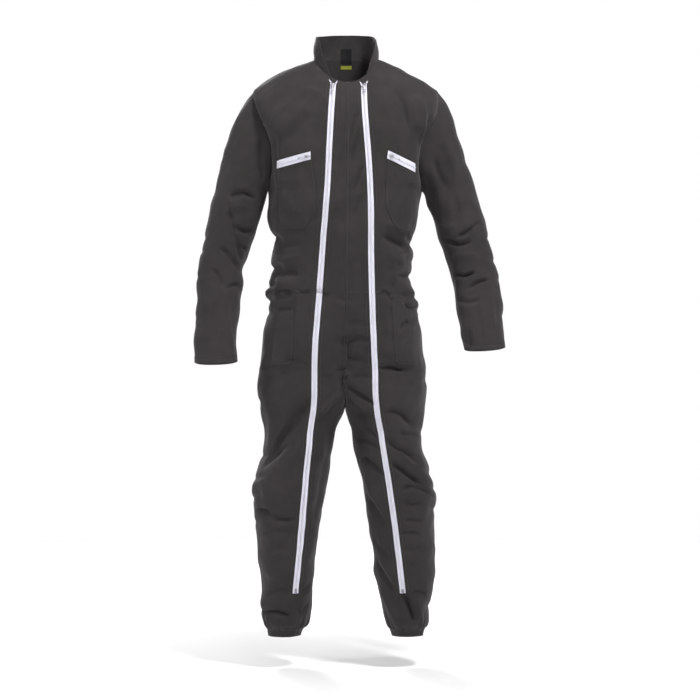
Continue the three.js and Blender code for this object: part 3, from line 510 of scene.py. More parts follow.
        inner, outer = beside(-ZIP_WIDTH / 2), beside(ZIP_WIDTH / 2)
        back = 2 * math.pi - BACK_CROTCH_ANGLE
        counts = (CROTCH_COLUMNS + CENTRE_COLUMNS, ZIP_COLUMNS, SIDE_COLUMNS, BACK_COLUMNS, CROTCH_COLUMNS)
        stops = [0 * inner, inner, outer, 0 * inner + math.pi, 0 * inner + back, 0 * inner + 2 * math.pi]
        column = np.arange(sum(counts) + 1)
        firsts = np.concatenate([[0], np.cumsum(counts)])
        group = np.clip(np.searchsorted(firsts, column, side="right") - 1, 0, len(counts) - 1)
        part = (column - firsts[group]) / np.array(counts)[group]
        if inner.shape[-1:] != column.shape:
            stops = [np.repeat(stop[..., None], column.size, axis=-1) for stop in stops]
        angles = [lerp(stops[g][..., c], stops[g + 1][..., c], part[c]) for c, g in enumerate(group)]
        return np.stack(angles, axis=-1)

    @classmethod
    def hip_ring(cls, side: str) -> np.ndarray:
        """Gives the ring at which a leg joins the body, one point for each of the leg's columns."""
        half = 0.5 / CROTCH_COLUMNS
        front = cls.body(side, False, HIP_ROW, cls.front_shares(side, np.array(float(HIP_ROW))))
        back = cls.body(side, True, HIP_ROW, np.linspace(1, 0, BACK_COLUMNS + 1))
        before = cls.crotch(0.5 - half * np.arange(CROTCH_COLUMNS))
        after = cls.crotch(1 - half * np.arange(1, CROTCH_COLUMNS + 1))
        return np.concatenate([before, front, back[1:], after])

    @classmethod
    def leg_grid(cls, side: str) -> np.ndarray:
        """Gives a leg's rows of points, from the hip ring down to the hem."""
        top = cls.hip_ring(side)
        rows = [top]
        for part in np.arange(1, HIP_ROWS + 1) / HIP_ROWS:
            z = lerp(top[:, 2], LEG_TOP_Z, part)
            ring = cls.leg(side, z, cls.leg_angles(side, z))
            start = stack(top[:, 0], top[:, 1], z)
            rows.append(lerp(start, ring, smoothstep(part)))
        heights = LEGS[side].columns["z"]
        steps = np.arange(LEG_BLEND_ROW * LEG_STEPS + 1, (len(heights) - 1) * LEG_STEPS + 1) / LEG_STEPS
        for z in np.interp(steps, np.arange(len(heights)), heights):
            rows.append(cls.leg(side, z, cls.leg_angles(side, np.array(z))))
        return np.array(rows)

    @classmethod
    def sleeve(cls, side: str, row: np.ndarray, angle: np.ndarray) -> np.ndarray:
        """Gives points of a sleeve, where row 0 is the armhole.

        Args:
            side: The wearer's side.
            row: Row numbers down the sleeve.
            angle: From the outer side over the front and the armpit.

        Returns:
            Points in millimetres.
        """
        table = SLEEVES[side]
        row, angle = np.broadcast_arrays(np.asarray(row, float), np.asarray(angle, float))

        def ring(t: np.ndarray) -> np.ndarray:
            """Gives the plain rings."""
            outer = stack(table.at("outer", t), table.at("y", t), table.at("outerZ", t))
            inner = stack(table.at("inner", t), table.at("y", t), table.at("innerZ", t))
            point = lerp(inner, outer, ((1 + rounded(np.cos(angle))) / 2)[..., None])
            point[..., 1] -= table.at("depth", t) * rounded(np.sin(angle))
            return point

        turn = np.where(angle <= math.pi, angle / math.pi, 2 - angle / math.pi)
        armhole = cls.edge(side, angle > math.pi, TIP_ROW + (ARMPIT_ROW - TIP_ROW) * turn)
        point = ring(row) + (armhole - ring(0 * row)) * (1 - smoothstep(row / ARMHOLE_BLEND))[..., None]
        ease = smoothstep(1 - (table.count - 1 - row) / CUFF_DROP_ROWS)
        point[..., 2] -= CUFF_DROP * np.abs(np.sin(angle)) * ease
        return point


class Skin:
    """The outside of the suit: points that panels share, and four-sided faces of one panel each."""

    def __init__(self) -> None:
        """Starts with no points."""
        self.points = np.zeros((0, 3))
        self.found: dict[tuple[int, ...], int] = {}
        self.gathered: list[np.ndarray] = []
        self.faces: dict[str, list[tuple[int, ...]]] = {}
        self.uvs: dict[str, list[tuple[tuple[float, float], ...]]] = {}
        self.grids: dict[str, np.ndarray] = {}

    def add(self, key: str, points: np.ndarray, flip: bool, name: Callable[[int, int], str]) -> None:
        """Adds a grid of points.

        Args:
            key: The grid's name.
            points: Rows of points in millimetres.
            flip: Whether the faces are turned over to face outwards.
            name: Gives the panel of the cell at a row and a column.
        """
        rows, columns = points.shape[:2]
        index = np.empty((rows, columns), int)
        rounded_points = np.rint(points * WELD_STEPS).astype(int)
        for r in range(rows):
            for c in range(columns):
                place = tuple(rounded_points[r, c])
                if place not in self.found:
                    self.found[place] = len(self.gathered)
                    self.gathered.append(points[r, c])
                index[r, c] = self.found[place]
        across = np.linalg.norm(np.diff(points, axis=1), axis=-1)
        down = np.linalg.norm(np.diff(points, axis=0), axis=-1).mean(axis=1)
        u = np.concatenate([np.zeros((rows, 1)), np.cumsum(across, axis=1)], axis=1) * MM
        v = -np.concatenate([[0.0], np.cumsum(down)]) * MM
        for r in range(rows - 1):
            for c in range(columns - 1):
                cell = [(r, c), (r, c + 1), (r + 1, c + 1), (r + 1, c)]
                if flip:
                    cell.reverse()
                panel = name(r, c)
                self.faces.setdefault(panel, []).append(tuple(int(index[at]) for at in cell))
                self.uvs.setdefault(panel, []).append(tuple((u[at], v[at[0]]) for at in cell))
        self.grids[key] = index

    def close(self) -> None:
        """Turns the gathered points into one array."""
        self.points = np.array(self.gathered)

    def quads(self) -> np.ndarray:
        """Gives all faces as one array."""
        return np.array([face for faces in self.faces.values() for face in faces])

    def normals(self) -> np.ndarray:
        """Gives the outward normal at each point."""
        quads = self.quads()
        a, b, c, d = (self.points[quads[:, k]] for k in range(4))
        across = np.cross(c - a, d - b)
        normals = np.zeros_like(self.points)
        for k in range(4):
            np.add.at(normals, quads[:, k], across)
        return unit(normals)


def make_skin() -> Skin:
    """Builds the worn form of the suit as one joined skin.

    Returns:
        The skin before its folds.
    """
    skin = Skin()
    rows = np.arange(HIP_ROW * ROW_STEPS + 1) / ROW_STEPS
    for side in SIDES:
        front = Form.body(side, False, rows[:, None], Form.front_shares(side, rows))
        back = Form.body(side, True, rows[:, None], np.linspace(0, 1, BACK_COLUMNS + 1))

        def front_panel(row: int, column: int) -> str:
            """Names the panel of a cell of the front."""
            if CENTRE_COLUMNS <= column < SIDE_FRONT:
                return "long_zip_" + side
            if column < CENTRE_COLUMNS:
                return ("centre_front_" if row < WAIST else "inner_leg_front_") + side
            return ("side_front_" if row < WAIST else "outer_leg_front_") + side

        def back_panel(row: int, column: int) -> str:
            """Names the panel of a cell of the back."""
            if row < WAIST:
                return "upper_back"
            return "waist_casing" if row < CASING else "leg_back_" + side

        def leg_panel(row: int, column: int) -> str:
            """Names the panel of a cell of the leg."""
            if row >= BAND:
                return "ankle_band_" + side
            if column < LEG_ZIP:
                return "inner_leg_front_" + side
            if column < LEG_ZIP + ZIP_COLUMNS and row < ZIP_END:
                return "long_zip_" + side
            return ("outer_leg_front_" if column < LEG_SIDE_SEAM else "leg_back_") + side

        skin.add("front_" + side, front, side == "left", front_panel)
        skin.add("back_" + side, back, side == "right", back_panel)
        skin.add("leg_" + side, Form.leg_grid(side), side == "left", leg_panel)
        around = 2 * (ARMPIT_ROW - TIP_ROW) * ROW_STEPS
        angles = 2 * math.pi * (np.arange(around + 1) % around) / around
        down = np.arange((SLEEVES[side].count - 1) * SLEEVE_STEPS + 1)[:, None] / SLEEVE_STEPS
        sleeve = Form.sleeve(side, down, angles)
        skin.add("sleeve_" + side, sleeve, side == "right", lambda row, column: "sleeve_" + side)
    skin.add("collar", collar_points(), True, lambda row, column: "collar")
    skin.close()
    return skin


def collar_points() -> np.ndarray:
    """Gives the collar's rows of points, from the neckline up."""
    halves = []
    for side in SIDES:
        shares = Form.front_shares(side, np.array(0.0))[CENTRE_COLUMNS + ZIP_COLUMNS:]
        front = Form.body(side, False, 0, shares)
        back = Form.body(side, True, 0, np.linspace(1, 0, BACK_COLUMNS + 1)[1:])
        halves.append(np.concatenate([front, back]))
    base = np.concatenate([halves[0], halves[1][::-1][1:]])
    quarter = np.concatenate([np.linspace(0, 2, SIDE_COLUMNS + 1), np.linspace(2, 4, BACK_COLUMNS + 1)[1:]])
    places = np.concatenate([quarter, (8 - quarter)[::-1][1:]])
    top = stack(*(COLLAR_TOP.at(name, places) for name in ("x", "y", "z")))
    rows = []
    for part in np.linspace(0, 1, COLLAR_ROWS + 1):
        ring = lerp(base, top, part)
        out = unit(stack(ring[:, 0], ring[:, 1], 0.0))
        rows.append(ring + out * COLLAR_BELLY * math.sin(math.pi * part))
    return np.array(rows)


class Face(Enum):
    """The side from which a fold is placed: the axis across it, and the way that side faces."""

    FRONT = (0, (0.0, -1.0))
    BACK = (0, (0.0, 1.0))
    RIGHT = (1, (-1.0, 0.0))
    LEFT = (1, (1.0, 0.0))


class Part(Enum):
    """Which stretch of the suit a fold belongs to."""

    TRUNK = "trunk"
    SLEEVE = "sleeve"
    LEG = "leg"
    ANY = "any"


@dataclass(frozen=True)
class Fold:
    """One crease or ridge, along a smooth line over two or more places.

    Places are (across, z) in millimetres as its face sees them. Rise is how far the cloth stands out, or
    sinks in where it is negative, width is how wide it is either way, and lean makes one flank steeper.
    """

    face: Face
    part: Part
    places: tuple[tuple[float, float], ...]
    width: float
    rise: float
    lean: float = 0.0

    def line(self) -> np.ndarray:
        """Gives the fold's line, finely divided."""
        table = Table("a b", self.places)
        t = np.linspace(0, table.count - 1, FOLD_STEPS * (table.count - 1) + 1)
        return np.stack([table.at("a", t), table.at("b", t)], axis=-1)

    def share(self, spots: np.ndarray) -> np.ndarray:
        """Gives how much of the fold's rise reaches each spot.

        Args:
            spots: Places as the fold's face sees them.

        Returns:
            1 on the line and fading beside it, towards its ends and past them.
        """
        line = self.line()
        reach = self.width * 3
        near = np.all((spots > line.min(axis=0) - reach) & (spots < line.max(axis=0) + reach), axis=1)
        out = np.zeros(len(spots))
        if not near.any():
            return out
        p = spots[near]
        best = np.full(len(p), np.inf)
        beside = np.zeros(len(p))
        along = np.zeros(len(p))
        count = len(line) - 1
        for i in range(count):
            a, b = line[i], line[i + 1]
            step = b - a
            t = np.clip(((p - a) @ step) / (step @ step), 0, 1)
            gap = p - a - t[:, None] * step
            distance = np.linalg.norm(gap, axis=1)
            turn = np.sign(step[0] * gap[:, 1] - step[1] * gap[:, 0])
            closer = distance < best
            best = np.where(closer, distance, best)
            beside = np.where(closer, distance * turn, beside)
            along = np.where(closer, (i + t) / count, along)
        s = beside / self.width
        past, fade = 0.08, 0.35
        taper = smoothstep((along + past) / fade) * smoothstep((1 + past - along) / fade)
        out[near] = np.exp(-s * s) * (1 + 1.5 * self.lean * s) * taper
        return out


PIXEL = 2.6
PHOTO_MIDDLE = 346.0
PHOTO_LEVEL = 66.0
CAMERA_X = 10.0
CAMERA_Y = -5500.0
CAMERA_Z = -738.0


def seen(part: Part, depth: float, spots: tuple[tuple[float, float], ...], width: float, rise: float,
         lean: float = 0.0) -> Fold:
    """Places a fold of the front where the photograph shows it.

    Args:
        part: The stretch of the suit.
        depth: How far in front of the suit's middle the cloth lies there, in millimetres.
        spots: The line's places, in the photograph's pixels.
        width: Half of the fold's width in millimetres.
        rise: How far the cloth stands out.
        lean: Which flank is the steeper.

    Returns:
        The fold in the suit's own millimetres.
    """
    scale = (depth + CAMERA_Y) / CAMERA_Y
    places = tuple(
        (CAMERA_X + ((x - PHOTO_MIDDLE) * PIXEL - CAMERA_X) * scale,
         CAMERA_Z + ((PHOTO_LEVEL - y) * PIXEL - CAMERA_Z) * scale)
        for x, y in spots
    )
    return Fold(Face.FRONT, part, places, width, rise, lean)


# The main folds, as in part.mjs, in millimetres
SOLID_FRONT_FOLDS = [
    (((-104, -104), (-176, -196)), 19, 7),
    (((-92, -130), (-158, -208)), 15, -6),
    (((138, -66), (158, -170)), 15, -6),
    (((176, -84), (182, -180)), 17, 6),
    (((-186, -530), (-120, -545)), 13, -9),
    (((-186, -566), (-130, -566)), 14, 7),
    (((-184, -596), (-140, -592)), 13, -7),
    (((92, -448), (166, -478)), 13, -10),
    (((96, -492), (160, -512)), 13, 6),
    (((100, -566), (168, -604)), 15, -7),
    (((88, -786), (196, -792)), 13, -7),
    (((-4, -700), (-3, -800)), 20, -13),
    (((-88, -880), (-200, -1024)), 24, -9),
    (((-96, -960), (-206, -1090)), 24, 8),
    (((118, -890), (180, -930)), 18, -7),
    (((130, -1020), (202, -1078)), 18, -8),
    (((150, -1094), (226, -1112)), 17, 7),
    (((-232, -1148), (-142, -1176)), 17, -6),
    (((150, -1370), (176, -1440)), 14, -6),
]
SOLID_BACK_FOLDS = [
    (((-150, -150), (-60, -260)), 24, -7),
    (((150, -140), (66, -240)), 22, -6),
    (((-170, -520), (-60, -548)), 16, -8),
    (((54, -540), (160, -506)), 16, -8),
    (((-2, -720), (-3, -790)), 20, -12),
    (((-60, -880), (-180, -960)), 24, -8),
    (((60, -886), (176, -970)), 22, -8),
    (((-200, -1120), (-96, -1090)), 20, -7),
    (((90, -1100), (200, -1136)), 20, -7),
]
SOLID_FOLDS = [
    Fold(face, Part.ANY, *row)
    for face, rows in ((Face.FRONT, SOLID_FRONT_FOLDS), (Face.BACK, SOLID_BACK_FOLDS)) for row in rows
]


# Folds that the photograph shows, in its pixels: the line, its half width and rise in millimetres, its lean
TRUNK_FOLDS = [
    (((275, 134), (274, 150), (277, 168)), 8, -6, 0.3),
    (((270, 150), (270, 170), (273, 194)), 8, -6, 0.0),
    (((284, 100), (276, 112), (270, 130)), 9, 4, 0.4),
    (((300, 88), (318, 92), (326, 104)), 9, 3, 0.0),
    (((398, 88), (403, 104), (408, 126)), 7, -4, 0.5),
    (((420, 98), (424, 116), (422, 140)), 8, 5, 0.3),
    (((429, 112), (426, 132), (420, 152)), 7, -6, 0.3),
    (((388, 84), (384, 96), (386, 118)), 9, 3, 0.0),
    (((356, 112), (352, 124), (349, 140)), 5, -3, 0.7),
    (((358, 132), (353, 146), (350, 162)), 5, -3, 0.7),
    (((363, 164), (356, 178), (350, 194)), 6, -4, 0.7),
    (((364, 194), (357, 204), (351, 218)), 6, -3, 0.6),
    (((340, 96), (343, 112), (343, 130)), 7, 2, 0.0),
    (((334, 160), (338, 190), (336, 220)), 8, 2, 0.0),
    (((281, 188), (290, 204), (303, 214)), 9, 3, 0.0),
    (((272, 236), (284, 243), (300, 242)), 7, -4, -0.6),
    (((270, 254), (282, 258), (302, 254)), 7, 4, -0.5),
    (((268, 276), (280, 270), (294, 272)), 8, -3, -0.4),
    (((274, 292), (283, 288), (293, 293)), 5, -5, -0.7),
    (((296, 288), (303, 292), (309, 291)), 5, -3, -0.6),
    (((278, 309), (286, 307), (294, 310)), 5, -4, -0.6),
    (((314, 290), (320, 291), (328, 295)), 5, -4, -0.8),
    (((336, 296), (346, 300), (356, 297)), 6, -2, -0.5),
    (((386, 236), (394, 239), (402, 242), (412, 250)), 8, -3.5, -0.4),
    (((384, 222), (398, 226), (412, 226)), 8, 4, -0.5),
    (((396, 264), (405, 260), (416, 261)), 6, -4, -0.5),
    (((388, 280), (390, 273), (395, 267)), 6, -2.5, 0.5),
    (((396, 276), (404, 274), (412, 278)), 6, -3, -0.4),
    (((379, 294), (387, 292), (393, 300)), 5, -5, -0.7),
    (((404, 302), (411, 306), (419, 303)), 5, -6, -0.6),
    (((382, 306), (388, 309), (392, 308)), 5, -3, -0.5),
    (((399, 330), (405, 322), (418, 318)), 5, -6, -0.7),
    (((382, 332), (390, 336), (397, 334)), 6, -3, -0.4),
    (((402, 345), (408, 341), (414, 343)), 6, -2, -0.4),
    (((348, 324), (358, 322), (371, 325)), 5, -4, -0.6),
    (((349, 341), (358, 338), (371, 340)), 5, -5, -0.6),
    (((346, 356), (354, 358), (369, 362)), 6, -5, -0.6),
    (((380, 358), (386, 356), (391, 360)), 5, -4, -0.5),
    (((378, 367), (394, 366), (406, 371), (428, 372)), 6, -8, -0.7),
    (((386, 377), (395, 380), (402, 379)), 6, -3, -0.4),
    (((284, 358), (295, 360), (307, 361)), 6, -3, -0.4),
    (((266, 352), (261, 362), (262, 378)), 9, 4, 0.0),
]
LEG_FOLDS = [
    (((335, 358), (340, 372), (344, 394)), 8, -6, 0.3),
    (((352, 378), (360, 375), (372, 377)), 5, -4, -0.6),
    (((322, 376), (330, 376), (338, 370)), 5, -3, -0.5),
    (((345, 383), (356, 390), (366, 397), (376, 404)), 6, -8, -0.6),
    (((344, 390), (352, 402), (362, 412), (374, 420)), 7, -7, -0.4),
    (((341, 392), (330, 402), (318, 416)), 7, 6, 0.4),
    (((338, 398), (326, 412), (316, 422)), 6, -3, 0.4),
    (((310, 398), (296, 414), (280, 434), (266, 458)), 13, -8, 0.4),
    (((286, 420), (278, 434), (268, 450)), 5, 6, 0.3),
    (((262, 466), (274, 454), (292, 442)), 7, -6, -0.5),
    (((300, 430), (286, 450), (272, 474)), 10, 4, 0.0),
    (((256, 478), (262, 486), (264, 500)), 8, 3, 0.0),
    (((254, 510), (262, 510), (270, 513)), 5, -6, -0.7),
    (((274, 518), (284, 519), (296, 516)), 7, -5, -0.7),
    (((262, 533), (276, 530), (294, 533)), 8, -3, -0.5),
    (((268, 552), (280, 548), (292, 552)), 8, -3, -0.4),
    (((262, 572), (276, 578), (290, 574)), 9, 3, 0.0),
    (((266, 596), (278, 590), (290, 594)), 7, -4, -0.5),
    (((262, 614), (274, 612), (290, 616)), 5, -8, -0.7),
    (((300, 596), (306, 592), (312, 586)), 6, -5, 0.5),
    (((296, 610), (302, 616), (308, 606)), 6, -5, 0.3),
    (((318, 450), (310, 500), (306, 540)), 10, 3, 0.0),
    (((330, 430), (324, 470), (314, 520)), 8, -3, 0.3),
    (((354, 410), (362, 416), (370, 426)), 5, -5, -0.6),
    (((362, 426), (370, 430), (378, 438)), 5, -5, -0.6),
    (((356, 440), (366, 440), (380, 448)), 6, -5, -0.6),
    (((362, 456), (370, 462), (384, 474)), 6, -8, -0.6),
    (((364, 484), (372, 496), (380, 512)), 8, 4, 0.3),
    (((368, 500), (376, 512), (386, 528)), 7, -5, 0.4),
    (((372, 538), (380, 548), (390, 556)), 8, -4, -0.4),
    (((374, 562), (384, 576), (396, 592)), 7, -6, -0.4),
    (((378, 592), (386, 602), (396, 622)), 9, 5, 0.0),
    (((402, 594), (408, 606), (414, 624)), 7, -10, 0.3),
    (((384, 412), (396, 410), (406, 416), (416, 426)), 6, -7, -0.7),
    (((398, 430), (408, 434), (420, 434)), 6, -6, -0.6),
    (((386, 436), (396, 446), (408, 452), (422, 464)), 7, -7, -0.6),
    (((392, 462), (400, 468), (412, 476), (428, 486)), 7, -10, -0.6),
    (((402, 487), (414, 486), (424, 490), (436, 496)), 6, -9, -0.6),
    (((404, 500), (412, 504), (420, 502)), 6, -4, -0.6),
    (((404, 520), (412, 519), (424, 522)), 6, -4, -0.6),
    (((400, 534), (410, 532), (422, 535)), 5, -4, -0.6),
    (((402, 548), (412, 550), (426, 547)), 7, -3, -0.4),
    (((406, 568), (416, 565), (430, 568)), 7, -3, -0.4),
    (((410, 594), (418, 592), (428, 596)), 6, -5, -0.6),
    (((418, 606), (420, 614), (418, 624)), 7, 3, 0.0),
]
SLEEVE_FOLDS = [
    (((262, 100), (266, 120), (274, 140)), 7, -4, 0.4),
    (((250, 104), (244, 124), (240, 150)), 12, 4, 0.0),
    (((262, 140), (258, 160), (262, 184)), 9, -5, 0.4),
    (((228, 196), (242, 192), (256, 197)), 6, -7, -0.6),
    (((224, 214), (236, 206), (250, 208)), 8, 4, 0.0),
    (((228, 202), (234, 228), (242, 262)), 7, -6, -0.5),
    (((236, 226), (246, 231), (258, 228)), 8, -8, -0.5),
    (((240, 246), (248, 252), (254, 262)), 6, -5, 0.4),
    (((220, 246), (230, 256), (240, 270)), 7, -5, -0.5),
    (((212, 268), (220, 276), (224, 288)), 6, -5, -0.5),
    (((226, 288), (236, 284), (246, 288)), 6, -5, -0.6),
    (((214, 300), (212, 320), (216, 344)), 8, -4, 0.4),
    (((230, 306), (228, 326), (232, 350)), 8, 4, 0.3),
    (((238, 336), (238, 348), (238, 362)), 4, -5, 0.0),
    (((432, 158), (438, 176), (448, 190)), 7, -5, 0.4),
    (((444, 140), (452, 160), (456, 184)), 11, 5, 0.0),
    (((424, 176), (430, 190), (434, 206)), 6, -6, 0.3),
    (((452, 196), (456, 210), (452, 226)), 8, -4, 0.4),
    (((444, 236), (454, 242), (462, 243), (470, 240)), 6, -9, -0.7),
    (((456, 236), (468, 230), (482, 219)), 6, -8, -0.6),
    (((438, 224), (446, 228), (456, 224)), 7, 4, 0.0),
    (((452, 258), (462, 254), (478, 256)), 8, 4, -0.4),
    (((455, 273), (464, 275), (474, 271)), 5, -8, -0.7),
    (((468, 288), (476, 282), (488, 279)), 5, -7, -0.6),
    (((458, 298), (468, 302), (480, 298)), 7, -4, -0.5),
    (((486, 290), (490, 310), (492, 330)), 9, 4, 0.0),
    (((474, 306), (478, 324), (480, 342)), 7, -4, 0.4),
    (((468, 330), (468, 340), (469, 350)), 4, -5, 0.0),
]
CREASE_GAIN = 1.25
SEEN_FOLDS = [
    seen(part, depth, row[0], row[1], row[2] * CREASE_GAIN, row[3])
    for part, depth, rows in ((Part.TRUNK, 120.0, TRUNK_FOLDS), (Part.LEG, 100.0, LEG_FOLDS),
                              (Part.SLEEVE, 60.0, SLEEVE_FOLDS))
    for row in rows
]

# Folds of the sides that the photograph doesn't show, in millimetres
HIDDEN_ROWS = {
    (Face.BACK, Part.TRUNK): (
        (((-196, -236), (-150, -282), (-96, -306)), 14, -6, 0.4),
        (((196, -226), (142, -268), (92, -300)), 13, -6, -0.4),
        (((-198, -292), (-158, -326), (-110, -338)), 12, -5, 0.4),
        (((194, -286), (160, -330), (104, -348)), 12, -6, -0.4),
        (((-120, -60), (-70, -40), (-20, -34)), 16, 4, 0.0),
        (((110, -70), (64, -44), (10, -36)), 14, 4, 0.0),
        (((-192, -440), (-120, -470), (-40, -462)), 12, -7, -0.5),
        (((10, -474), (86, -466), (176, -430)), 12, -7, -0.5),
        (((-170, -500), (-96, -512), (-24, -504)), 10, -7, -0.6),
        (((24, -524), (100, -506), (166, -516)), 10, -7, -0.6),
        (((-190, -548), (-130, -556), (-84, -548)), 9, -6, -0.6),
        (((60, -560), (110, -552), (168, -560)), 9, -6, -0.6),
        (((-180, -654), (-120, -648), (-60, -660)), 10, -6, 0.5),
        (((40, -656), (110, -646), (172, -660)), 10, -6, 0.5),
        (((-60, -690), (-76, -730), (-70, -770)), 16, 5, 0.0),
        (((66, -684), (84, -724), (80, -772)), 16, 5, 0.0),
    ),
    (Face.BACK, Part.LEG): (
        (((-206, -800), (-130, -836), (-40, -842)), 13, -8, -0.5),
        (((192, -806), (120, -838), (34, -846)), 13, -8, 0.5),
        (((-200, -872), (-130, -886), (-40, -880)), 11, -6, -0.5),
        (((190, -866), (120, -892), (30, -884)), 11, -6, 0.5),
        (((-60, -920), (-120, -980), (-180, -1030)), 16, -6, 0.4),
        (((60, -910), (110, -970), (176, -1010)), 16, -6, -0.4),
        (((-216, -1060), (-150, -1078), (-70, -1064)), 10, -8, -0.6),
        (((-222, -1100), (-150, -1124), (-74, -1116)), 10, -9, -0.6),
        (((-216, -1152), (-160, -1160), (-90, -1146)), 9, -6, -0.6),
        (((212, -1056), (150, -1084), (66, -1072)), 10, -8, 0.6),
        (((220, -1104), (150, -1120), (74, -1104)), 10, -9, 0.6),
        (((212, -1144), (150, -1164), (88, -1156)), 9, -6, 0.6),
        (((-206, -1210), (-150, -1240), (-110, -1290)), 15, 5, 0.0),
        (((206, -1220), (160, -1250), (112, -1300)), 15, 5, 0.0),
        (((-212, -1330), (-160, -1346), (-104, -1330)), 10, -5, -0.5),
        (((214, -1340), (160, -1352), (104, -1344)), 10, -5, 0.5),
        (((-210, -1392), (-160, -1406), (-108, -1396)), 9, -7, -0.6),
        (((206, -1388), (160, -1408), (112, -1400)), 9, -7, 0.6),
    ),
    (Face.BACK, Part.SLEEVE): (
        (((-300, -180), (-262, -216), (-226, -230)), 12, -6, 0.4),
        (((296, -170), (262, -210), (228, -236)), 12, -6, -0.4),
        (((-336, -380), (-300, -420), (-254, -430)), 9, -7, 0.5),
        (((338, -372), (300, -412), (254, -424)), 9, -7, -0.5),
        (((-366, -452), (-320, -466), (-268, -500)), 8, -8, 0.5),
        (((370, -446), (324, -462), (268, -492)), 8, -8, -0.5),
        (((-374, -520), (-330, -526), (-280, -548)), 8, -6, 0.5),
        (((384, -512), (340, -524), (284, -546)), 8, -6, -0.5),
        (((-376, -600), (-340, -616), (-300, -606)), 9, -4, 0.4),
        (((390, -590), (350, -606), (306, -598)), 9, -4, -0.4),
    ),
    (Face.LEFT, Part.TRUNK): (
        (((-70, -440), (-10, -462), (64, -444)), 10, -7, -0.5),
        (((-80, -500), (-4, -506), (70, -524)), 10, -3.5, -0.4),
        (((-84, -552), (0, -544), (76, -556)), 9, -7, -0.6),
        (((-80, -590), (-10, -600), (60, -588)), 8, -7, -0.6),
        (((-90, -640), (-10, -636), (70, -650)), 9, -5, 0.5),
    ),
    (Face.LEFT, Part.LEG): (
        (((-90, -830), (-10, -816), (80, -800)), 11, -6, -0.4),
        (((-86, -930), (0, -950), (70, -930)), 11, -6, -0.4),
        (((-84, -1040), (0, -1056), (60, -1040)), 10, -8, -0.6),
        (((-80, -1090), (0, -1096), (60, -1110)), 9, -8, -0.6),
        (((-70, -1136), (0, -1150), (60, -1140)), 9, -6, -0.6),
        (((-50, -1240), (6, -1260), (50, -1300)), 14, 4, 0.0),
        (((-56, -1390), (6, -1400), (50, -1388)), 9, -7, -0.6),
    ),
    (Face.RIGHT, Part.TRUNK): (
        (((-74, -450), (-6, -440), (60, -456)), 10, -7, -0.5),
        (((-84, -512), (-8, -524), (70, -510)), 9, -8, -0.6),
        (((-80, -560), (4, -570), (72, -556)), 9, -7, -0.6),
        (((-84, -602), (-4, -610), (64, -600)), 8, -7, -0.6),
        (((-88, -650), (0, -644), (80, -660)), 9, -5, 0.5),
    ),
    (Face.RIGHT, Part.LEG): (
        (((-90, -850), (0, -872), (80, -850)), 11, -6, -0.4),
        (((-84, -1000), (0, -1010), (60, -996)), 10, -7, -0.5),
        (((-84, -1056), (0, -1070), (60, -1062)), 9, -8, -0.6),
        (((-76, -1110), (0, -1120), (60, -1104)), 9, -8, -0.6),
        (((-60, -1190), (0, -1180), (56, -1196)), 9, -5, -0.5),
        (((-50, -1260), (6, -1290), (50, -1320)), 14, 4, 0.0),
        (((-56, -1410), (6, -1404), (50, -1396)), 9, -7, -0.6),
    ),
    (Face.LEFT, Part.SLEEVE): (
        (((-46, -230), (0, -250), (44, -226)), 12, -5, -0.4),
        (((-56, -452), (-10, -444), (34, -430)), 8, -7, -0.6),
        (((-60, -500), (-16, -508), (30, -490)), 8, -7, -0.6),
        (((-66, -560), (-26, -556), (16, -566)), 8, -5, -0.5),
        (((-86, -640), (-50, -650), (-8, -636)), 9, -4, -0.4),
    ),
    (Face.RIGHT, Part.SLEEVE): (
        (((-46, -250), (0, -236), (44, -250)), 12, -5, -0.4),
        (((-50, -430), (-6, -446), (36, -440)), 8, -7, -0.6),
        (((-60, -486), (-14, -480), (30, -496)), 8, -7, -0.6),
        (((-66, -540), (-20, -548), (20, -536)), 8, -5, -0.5),
        (((-90, -660), (-50, -652), (-8, -664)), 9, -4, -0.4),
    ),
}
SIDE_GAINS = {Part.TRUNK: 0.8, Part.LEG: 0.45, Part.SLEEVE: 0.35}
HIDDEN_FOLDS = [
    Fold(face, part, places, width, rise * (1.0 if face is Face.BACK else SIDE_GAINS[part]), lean)
    for (face, part), rows in HIDDEN_ROWS.items() for places, width, rise, lean in rows
]


